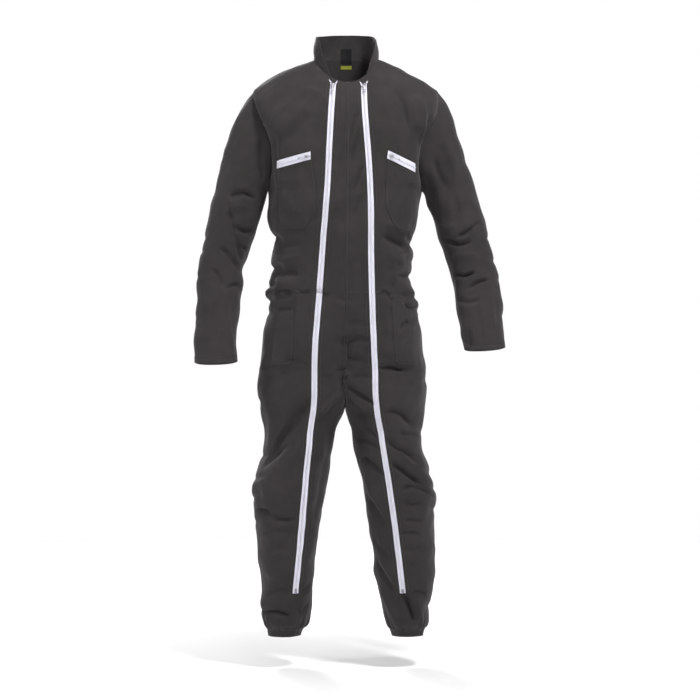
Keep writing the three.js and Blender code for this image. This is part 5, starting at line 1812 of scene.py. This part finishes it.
@dataclass
class Sewing:
    """The laps of the seams and hems, and every stitch."""

    surface: Surface
    finishes: Finishes
    pitch: float = 3.3
    beside_zip: float = 2.6
    lift: float = 0.12
    split_z: float = -640.0
    lap_step: float = 4.0

    def build(self) -> None:
        """Makes the laps and the stitches."""
        seams = self.seams()
        laps = [seam for seam in seams if seam.height > 0]
        settle(self.lap_object("felled_seams", laps), self.finishes.twill, "twill", "suit")
        courses: dict[str, list[Course]] = {"upper": [], "lower": []}
        for seam in seams:
            for offset in seam.rows:
                lift = seam.height + seam.over + self.lift
                laid = self.surface.lay(seam.line, self.pitch, seam.offset + offset, lift)
                half = "upper" if laid.spots[:, 2].mean() > self.split_z else "lower"
                courses[half].append(laid)
        for half, laid in courses.items():
            stitch = Repeat(half + "_stitch", (2.4, 0.5, 0.42), 7)
            settle(stitch.build(half + "_stitches", laid, self.finishes.thread), self.finishes.thread,
                   "twill", "suit")

    def seams(self) -> list[Seam]:
        """Lists every seam and hem that is sewn."""
        grid = self.surface.grid_line
        whole = slice(None)
        felled = (-3.0, 3.0)
        found = [
            Seam(grid("front_right", (whole, 0)), 9.0, 0.7, felled),
            Seam(grid("back_right", (slice(CASING, None), 0)), 8.0, 0.7, felled),
            Seam(grid("leg_right", (0, slice(0, CROTCH_COLUMNS + 1))), 8.0, 0.6, felled),
            Seam(grid("collar", (0, whole)), 0.0, 0.0, (2.2,)),
            Seam(grid("collar", (0, whole)), 11.0, 2.0, (), sunk=3.2),
            Seam(grid("collar", (COLLAR_ROWS, whole)), 0.0, 0.0, (-5.0, 5.0)),
        ]
        for side in SIDES:
            way = OUTWARD[side]
            front, back, leg, sleeve = (name + side for name in ("front_", "back_", "leg_", "sleeve_"))
            around = self.surface.skin.grids[sleeve].shape[1] - 1
            found += [
                Seam(grid(front, (slice(1, TIP), -1)), 8.0, 0.6, (-2.8, 2.8)),
                Seam(grid(front, (slice(ARMPIT, None), -1)), 8.0, 0.6, felled),
                Seam(grid(front, (WAIST, slice(0, CENTRE_COLUMNS + 1))), 0.0, 0.0, (-2.0, 2.0)),
                Seam(grid(front, (WAIST, slice(SIDE_FRONT, None))), 0.0, 0.0, (-2.0, 2.0)),
                Seam(grid(back, (WAIST, whole)), 0.0, 0.0, (-2.5, 2.5)),
                Seam(grid(back, (CASING, whole)), 0.0, 0.0, (-2.5, 2.5)),
                Seam(grid(sleeve, (0, whole)), 8.0, 0.7, felled),
                Seam(grid(sleeve, (slice(1, -1), around // 2)), 8.0, 0.6, felled),
                Seam(grid(sleeve, (-2, whole)), 17.0, 0.5, (-6.0, 6.0), -5.0 * way),
                Seam(grid(leg, (slice(0, BAND), LEG_SIDE_SEAM)), 8.0, 0.6, felled),
                Seam(grid(leg, (slice(0, BAND), 0)), 8.0, 0.6, felled),
                Seam(grid(leg, (BAND, whole)), 0.0, 0.0, (-2.2, 2.2)),
                Seam(grid(leg, (-1, whole)), 0.0, 0.0, (3.0, -3.0)),
            ]
            for column, away in ((CENTRE_COLUMNS, -way), (SIDE_FRONT, way)):
                line = np.concatenate([
                    grid(front, (slice(1, None), column)),
                    grid(leg, (slice(1, ZIP_END + 1), column + CROTCH_COLUMNS)),
                ])
                found.append(Seam(line, 0.0, 0.0, (self.beside_zip * away, (self.beside_zip + 5.0) * away)))
            for outline in (CHEST_POCKETS[side], HIP_POCKETS[side]):
                middle = np.mean(outline, axis=0)
                inset = [tuple(middle + (np.array(p) - middle) * (1 - 4.0 / math.dist(p, middle)))
                         for p in outline + outline[:1]]
                found.append(Seam(self.surface.seen_line(inset), 0.0, 0.0, (0.0,), over=POCKET_LIFTS[1]))
            opening = [(x, z + (3.0 if z > np.mean(POCKET_ZIPS[side], axis=0)[1] else -3.0))
                       for x, z in POCKET_ZIPS[side]]
            for ends in (opening[:2], opening[2:]):
                found.append(Seam(self.surface.seen_line(ends), 0.0, 0.0, (0.0,), over=POCKET_LIFTS[1]))
        return found

    def lap_object(self, name: str, seams: list[Seam]) -> bpy.types.Object:
        """Makes the raised laps of seams as closed strips.

        Args:
            name: The object's name.
            seams: The seams.

        Returns:
            The object.
        """
        points: list[np.ndarray] = []
        faces: list[tuple[int, ...]] = []
        uvs: list[tuple[tuple[float, float], ...]] = []
        base = 0
        for seam in seams:
            half, soft = seam.width / 2, 0.8
            profile = [(-half, -0.5), (-half + soft, seam.height), (0.0, seam.height + 0.15),
                       (half - soft, seam.height), (half, -0.5)]
            rings = [self.surface.lay(seam.line, self.lap_step, seam.offset + across, lift - seam.sunk).spots
                     for across, lift in profile]
            ring = np.stack(rings, axis=1)
            count, size = ring.shape[:2]
            for i in range(count - 1):
                for k in range(size):
                    a, b = base + i * size + k, base + i * size + (k + 1) % size
                    faces.append((a, a + size, b + size, b))
                    u = [profile[k][0] * MM, profile[(k + 1) % size][0] * MM]
                    v = [i * self.lap_step * MM, (i + 1) * self.lap_step * MM]
                    uvs.append(((u[0], v[0]), (u[0], v[1]), (u[1], v[1]), (u[1], v[0])))
            last = base + (count - 1) * size
            for cap in (tuple(range(base, base + size)), tuple(range(last, last + size))[::-1]):
                faces.append(cap)
                uvs.append(tuple((0.001 * k, 0.0) for k in range(size)))
            points.append(ring.reshape(-1, 3))
            base += count * size
        made = mesh_object(name, np.concatenate(points), faces, uvs)
        turn_out(made)
        return made


@dataclass
class Zips:
    """The teeth of the four zips, with the stops at their ends."""

    surface: Surface
    finishes: Finishes
    pitch: float = 2.7
    half_gauge: float = 0.8
    end_depth: float = 1.2
    end_inset: float = 1.6
    end_profile: Outline = ((0.0, -5.0), (-5.5, -5.0), (-1.5, 1.0), (3.6, 6.0), (2.2, 1.0))

    def build(self) -> None:
        """Makes the teeth of every zip as one piece."""
        rows, stops = [], []
        for side in SIDES:
            line = np.concatenate([
                self.middle("front_" + side, slice(2, None), CENTRE_COLUMNS),
                self.middle("leg_" + side, slice(1, ZIP_END + 1), LEG_ZIP),
            ])
            line = line[line[:, 2] < ZIP_TOPS[side][1]]
            rows += self.pair(line, 0.1)
            stops.append(self.surface.lay(line[-3:], 4.0, 0.0, 0.2))
            outline = POCKET_ZIPS[side]
            ends = [np.mean([outline[0], outline[3]], axis=0), np.mean([outline[1], outline[2]], axis=0)]
            rows += self.pair(self.surface.seen_line([tuple(end) for end in ends]), 2.3)
        teeth = Repeat("tooth", (1.5, 2.3, 1.3), 3, 0.03).build("zip_teeth", rows, self.finishes.teeth)
        settle(teeth, self.finishes.teeth, "zip_tape", "suit")
        for side in SIDES:
            self.ends(side)
        stop = Repeat("stop", (3.2, 5.4, 1.8), 3, 0.0).build("zip_stops", stops, self.finishes.enamel)
        settle(stop, self.finishes.enamel, "slider", "suit")

    def middle(self, key: str, rows: slice, column: int) -> np.ndarray:
        """Gives the middle line of a long zip's tape."""
        edges = [self.surface.grid_line(key, (rows, c)) for c in (column, column + ZIP_COLUMNS)]
        return (edges[0] + edges[1]) / 2

    def ends(self, side: str) -> None:
        """Makes the two loose ends of a long zip's tape, which stand apart above its slider."""
        away, (outer, _, inner) = OUTWARD[side], ZIP_TOPS[side]
        points, faces = [], []
        near_neck = slice(0, ZIP_COLUMNS + 8)
        for column, way, top in ((CENTRE_COLUMNS, -away, inner), (SIDE_FRONT, away, outer)):
            line = self.surface.grid_line("front_" + side, (near_neck, column))[::-1]
            edge = np.array([np.interp(top, line[:, 2], line[:, axis]) for axis in range(3)])
            base, size = len(points), len(self.end_profile)
            for depth in (self.end_depth, 0.0):
                points += [edge + (x * way, depth - self.end_inset, z) for x, z in self.end_profile]
            faces.append(tuple(base + k for k in range(size)))
            faces.append(tuple(base + size + k for k in reversed(range(size))))
            faces += [(base + (k + 1) % size, base + k, base + size + k, base + size + (k + 1) % size)
                      for k in range(size)]
        uvs = [tuple((points[i][0] * MM, points[i][2] * MM) for i in face) for face in faces]
        made = mesh_object("tape_ends_" + side, np.array(points), faces, uvs)
        turn_out(made)
        settle(made, self.finishes.tape, "zip_tape", "suit")

    def pair(self, line: np.ndarray, lift: float) -> list[Course]:
        """Gives the two rows of teeth that mesh with each other."""
        right = self.surface.lay(line, self.pitch, -self.half_gauge, lift)
        left = self.surface.lay(line, self.pitch, self.half_gauge, lift)
        return [right, Course(left.spots + left.along * self.pitch / 2, left.out, left.along)]


@dataclass(frozen=True)
class Cut:
    """How a panel was cut: the rectangle it came from, its own area, and what it is sewn to."""

    width: float
    length: float
    area: float
    sewn_to: tuple[str, ...]


CUTS = {
    "centre_front": Cut(0.09, 0.56, 0.03, ("long_zip",)),
    "side_front": Cut(0.26, 0.66, 0.13, ("long_zip",)),
    "upper_back": Cut(0.64, 0.66, 0.34, ("collar",)),
    "waist_casing": Cut(0.56, 0.04, 0.02, ("upper_back",)),
    "sleeve": Cut(0.48, 0.72, 0.25, ("upper_back",)),
    "collar": Cut(0.34, 0.09, 0.027, ("upper_back",)),
    "inner_leg_front": Cut(0.17, 0.95, 0.10, ("long_zip",)),
    "outer_leg_front": Cut(0.26, 0.92, 0.16, ("long_zip",)),
    "leg_back": Cut(0.36, 0.94, 0.26, ("waist_casing",)),
    "ankle_band": Cut(0.34, 0.025, 0.008, ("leg_back",)),
    "chest_pocket": Cut(0.115, 0.185, 0.0165, ("side_front",)),
    "hip_pocket": Cut(0.075, 0.175, 0.0105, ("outer_leg_front",)),
}


# How far the lower and the upper face of a sewn piece lie off the cloth
POCKET_LIFTS = (0.2, 1.4)
POCKET_TAPE_LIFTS = (0.3, 1.9)
NOTCH_LIFTS = (-0.3, 0.35)
LONG_TAPE_SUNK = 0.5
LABEL_GAP = 0.15
LABEL_WALL = 1.4
NECK_PIECE_WALL = 0.7


class Suit:
    """The cloth of the suit: its panels, and what is sewn onto them."""

    def __init__(self, finishes: Finishes) -> None:
        """Builds and folds the skin, and cuts it into sheets.

        Args:
            finishes: The materials.
        """
        self.finishes = finishes
        self.skin = make_skin()
        drape = Drape(self.skin)
        drape.fold(SOLID_FOLDS + SEEN_FOLDS + HIDDEN_FOLDS)
        drape.uneven(size=95.0, height=1.3, seed=5)
        drape.uneven(size=42.0, height=0.45, seed=11)
        drape.gather()
        self.normals = self.skin.normals()
        self.sheets = {name: cut_panel(self.skin, self.normals, name) for name in self.skin.faces}

    def panels(self) -> None:
        """Makes each panel as a closed wall of cloth."""
        for name, sheet in self.sheets.items():
            if name.startswith("long_zip"):
                continue
            thickness = CLOTH_WALL
            if name == "collar":
                thickness = COLLAR_WALL
            if name.startswith("ankle"):
                thickness = BAND_WALL
            piece = sheet.wall(name + "_cloth", sheet.points, sheet.points - sheet.normals * thickness)
            settle(piece, self.finishes.twill, "twill", "suit", name)
            self.declare(name)

    def declare(self, name: str) -> None:
        """Looks up the flat size that a panel or a pocket was cut to and the panels it is sewn to, and uses
        neither.

        Args:
            name: The node that it stands for.
        """
        kind, _, side = name.rpartition("_") if name.endswith(SIDES) else (name, "", "right")
        cut = CUTS[kind]
        carriers = [(plain, plain + "_" + side) for plain in cut.sewn_to]

    def tapes(self) -> None:
        """Makes the two long zip tapes."""
        for side in SIDES:
            sheet = self.sheets["long_zip_" + side]
            outer = sheet.points - sheet.normals * LONG_TAPE_SUNK
            piece = sheet.wall("long_tape_" + side, outer, outer - sheet.normals)
            settle(piece, self.finishes.tape, "zip_tape", "suit", "long_zip_" + side)

    def patches(self) -> None:
        """Makes the pockets, the pocket zips' tapes and the labels."""
        for side in SIDES:
            chest, hip = self.sheets["side_front_" + side], self.sheets["outer_leg_front_" + side]
            self.pocket("chest_pocket", side, chest, CHEST_POCKETS[side])
            tape = sewn_on("pocket_tape_" + side, chest, POCKET_ZIPS[side], *POCKET_TAPE_LIFTS)
            settle(tape, self.finishes.tape, "zip_tape", "suit", "pocket_zip_" + side)
            self.pocket("hip_pocket", side, hip, HIP_POCKETS[side])
            self.neck_corner(side)
        depth = COLLAR_WALL + LABEL_GAP
        label = sewn_on("neck_label_satin", self.sheets["collar"], LABEL, -depth, -depth - LABEL_WALL)
        settle(label, self.finishes.label, "label", "suit", "neck_label")
        facing = self.facing()
        depth = FACING_WALL + LABEL_GAP
        tail = sewn_on("neck_label_tail", facing, LABEL, -depth, -depth - NECK_PIECE_WALL)
        settle(tail, self.finishes.label, "label", "suit")
        strip = sewn_on("label_strip_satin", facing, LABEL_STRIP, -depth, -depth - NECK_PIECE_WALL)
        settle(strip, self.finishes.strip, "label_strip", "suit", "label_strip")

    def pocket(self, kind: str, side: str, sheet: Sheet, outline: Outline) -> None:
        """Makes a pocket on the sheet that carries it."""
        piece = sewn_on(f"{kind}_cloth_{side}", sheet, outline, *POCKET_LIFTS)
        settle(piece, self.finishes.twill, "twill", "suit", f"{kind}_{side}")
        self.declare(f"{kind}_{side}")

    def neck_corner(self, side: str) -> None:
        """Covers a long zip's tape with cloth above its slider, down to a notch between the tape's two ends.

        Args:
            side: The wearer's side.
        """
        tape, away = self.sheets["long_zip_" + side], OUTWARD[side]
        outer, notch, inner = ZIP_TOPS[side]
        x, above = LONG_ZIP.at_height(side, notch), tape.points[:, 2].max() + 4
        for part, way, top in (("outer", away, outer), ("inner", -away, inner)):
            edge = x + way * TAPE_REACH
            outline = [(edge, above), (edge, top), (x, notch), (x, above)]
            piece = sewn_on(f"zip_notch_{part}_{side}", tape, outline, *NOTCH_LIFTS)
            settle(piece, self.finishes.twill, "twill", "suit")

    def facing(self) -> Sheet:
        """Makes the facing of the back neck, which hangs inside from the collar's seam.

        Returns:
            Its sheet, facing out of the suit.
        """
        index = self.skin.grids["collar"][0][FACING_START:-FACING_START]
        base, out = self.skin.points[index], self.normals[index] * (1.0, 1.0, 0.0)
        out = unit(out)
        base = base - out * (COLLAR_WALL + 0.4)
        drops = np.linspace(-3.0, FACING_DROP, FACING_ROWS + 1)
        share = np.sin(np.linspace(0, math.pi, len(index)))[:, None] ** 0.3
        rows = [base - stack(0.0, 0.0, drop) * (0.5 + 0.5 * share) - out * 0.03 * max(drop, 0.0)
                for drop in drops]
        points, columns = np.concatenate(rows), len(index)
        faces = [(r * columns + c, r * columns + c + 1, (r + 1) * columns + c + 1, (r + 1) * columns + c)
                 for r in range(FACING_ROWS) for c in range(columns - 1)]
        corner, right, _, below = (points[i] for i in faces[0])
        if np.cross(right - corner, below - corner) @ out[0] < 0:
            faces = [face[::-1] for face in faces]
        width = np.concatenate([[0.0], np.cumsum(np.linalg.norm(np.diff(base, axis=0), axis=1))])
        uvs = [tuple((width[i % columns] * MM, -drops[i // columns] * MM) for i in face) for face in faces]
        sheet = Sheet(points, np.tile(out, (FACING_ROWS + 1, 1)), np.array(faces), np.array(uvs))
        piece = sheet.wall("neck_facing", points, points - sheet.normals * FACING_WALL)
        settle(piece, self.finishes.twill, "twill", "suit")
        return sheet


@dataclass
class Hardware:
    """The sliders and the pull tabs, their edges rounded."""

    finishes: Finishes
    bevel: float = 0.0004
    segments: int = 2
    weld: float = 1e-6
    flat: float = math.radians(2)
    crease: float = math.radians(28)

    def build(self) -> None:
        """Makes a rounded copy of each slider and each tab."""
        for kind in ("long", "pocket"):
            for side in SIDES:
                self.round_off(f"{kind}_slider_{side}", "suit")
                self.round_off(f"{kind}_pull_{side}", f"{kind}_tab_{side}")

    def round_off(self, node: str, body: str) -> None:
        """Copies a node's mesh and rounds its edges.

        Args:
            node: The node.
            body: The body that it rides on.
        """
        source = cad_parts[node]
        mesh = source.data.copy()
        mesh.transform(source.matrix_world)
        work = bmesh.new()
        work.from_mesh(mesh)
        bmesh.ops.remove_doubles(work, verts=work.verts, dist=self.weld)
        bmesh.ops.dissolve_limit(work, angle_limit=self.flat, verts=work.verts, edges=work.edges)
        sharp = [edge for edge in work.edges if edge.calc_face_angle(0.0) > self.crease]
        bmesh.ops.bevel(work, geom=sharp, offset=self.bevel, segments=self.segments, affect="EDGES",
                        clamp_overlap=True)
        bmesh.ops.triangulate(work, faces=work.faces)
        work.to_mesh(mesh)
        work.free()
        mesh.polygons.foreach_set("use_smooth", [True] * len(mesh.polygons))
        piece = bpy.data.objects.new(node + "_metal", mesh)
        bpy.context.scene.collection.objects.link(piece)
        settle(piece, self.finishes.enamel, "slider", body, node)


@dataclass
class Studio:
    """The pale floor, the soft lights and the camera."""

    floor_z: float = -1.56
    radius: float = 3.7
    lens: float = 108.8
    glow: float = 0.2

    def build(self) -> None:
        """Makes the floor, the lights, the white surroundings and the camera."""
        self.floor()
        self.light("key", (1.1, -1.4, 2.0), (0.0, 0.0, -0.4), 0.5, 88.0)
        self.light("side", (-2.4, -0.7, 1.0), (0.0, 0.0, -0.3), 0.5, 30.0)
        self.light("front", (0.5, -3.2, 0.9), (0.0, 0.0, -0.2), 0.6, 15.0)
        self.light("back", (-0.9, 2.6, 1.4), (0.0, 0.0, -0.6), 1.0, 85.0)
        for x, across in ((-2.8, "right"), (2.8, "left")):
            for y, along in ((-2.8, "front"), (2.8, "back")):
                self.light(f"floor_{across}_{along}", (x, y, 2.4), (x, y, 0.0), 2.6, 105.0, 80.0)
        self.surroundings()
        self.view()

    def surroundings(self) -> None:
        """Makes the world, white to the camera and dimmer as a light."""
        world = bpy.data.worlds.new("studio")
        world.use_nodes = True
        nodes, links = world.node_tree.nodes, world.node_tree.links
        sky = nodes["Background"]
        sky.inputs[0].default_value = (1.0, 1.0, 1.0, 1.0)
        path, strength = nodes.new("ShaderNodeLightPath"), nodes.new("ShaderNodeMath")
        strength.operation = "MULTIPLY_ADD"
        links.new(path.outputs["Is Camera Ray"], strength.inputs[0])
        strength.inputs[1].default_value = 1.0 - self.glow
        strength.inputs[2].default_value = self.glow
        links.new(strength.outputs[0], sky.inputs[1])
        bpy.context.scene.world = world

    def view(self) -> None:
        """Places the camera and sets plain colours."""
        bpy.context.scene.view_settings.view_transform = "Standard"
        camera = bpy.data.cameras.new("camera")
        camera.lens = self.lens
        camera.sensor_width = 36.0
        camera.clip_end = 60.0
        holder = bpy.data.objects.new("camera", camera)
        holder.location = (CAMERA_X * MM, CAMERA_Y * MM, CAMERA_Z * MM)
        holder.rotation_euler = (math.radians(90), 0.0, 0.0)
        bpy.context.scene.collection.objects.link(holder)
        bpy.context.scene.camera = holder

    def light(self, name: str, place: tuple[float, float, float], target: tuple[float, float, float],
              size: float, power: float, spread: float = 180.0) -> None:
        """Adds a square area light.

        Args:
            name: Its name.
            place: Where it is.
            target: What it points at.
            size: Its side in metres.
            power: Its power in watts.
            spread: How wide its light goes, in degrees.
        """
        data = bpy.data.lights.new(name, "AREA")
        data.size = size
        data.energy = power
        data.spread = math.radians(spread)
        made = bpy.data.objects.new(name, data)
        made.location = place
        made.rotation_euler = (Vector(target) - Vector(place)).to_track_quat("-Z", "Y").to_euler()
        bpy.context.scene.collection.objects.link(made)

    def floor(self) -> None:
        """Makes the plain floor."""
        count = 96
        turns = np.arange(count) * 2 * math.pi / count
        rim = stack(np.cos(turns) * self.radius, np.sin(turns) * self.radius, self.floor_z) / MM
        made = mesh_object("studio_floor", rim, [tuple(range(count))])
        n = Nodes("pale_floor")
        grain = n.noise(n.place(), 3.0, 2.0)
        colour = n.mix(grain, (0.86, 0.86, 0.86, 1.0), (0.9, 0.9, 0.9, 1.0))
        made.data.materials.append(n.dress(Base_Color=colour, Roughness=0.9))
        made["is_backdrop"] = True


def main() -> None:
    """Builds the suit piece by piece and reports each one."""
    logging.basicConfig(level=logging.INFO, format="%(message)s")
    finishes = Finishes()
    suit = Suit(finishes)
    suit.panels()
    suit.tapes()
    suit.patches()
    surface = Surface(suit.skin)
    Sewing(surface, finishes).build()
    Zips(surface, finishes).build()
    Hardware(finishes).build()
    Studio().build()
    boxes = {"cad": CAD_BOX, "visual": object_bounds()}
    {name: [list(map(float, corner)) for corner in box] for name, box in boxes.items()}


if __name__ == "__main__":
    main()
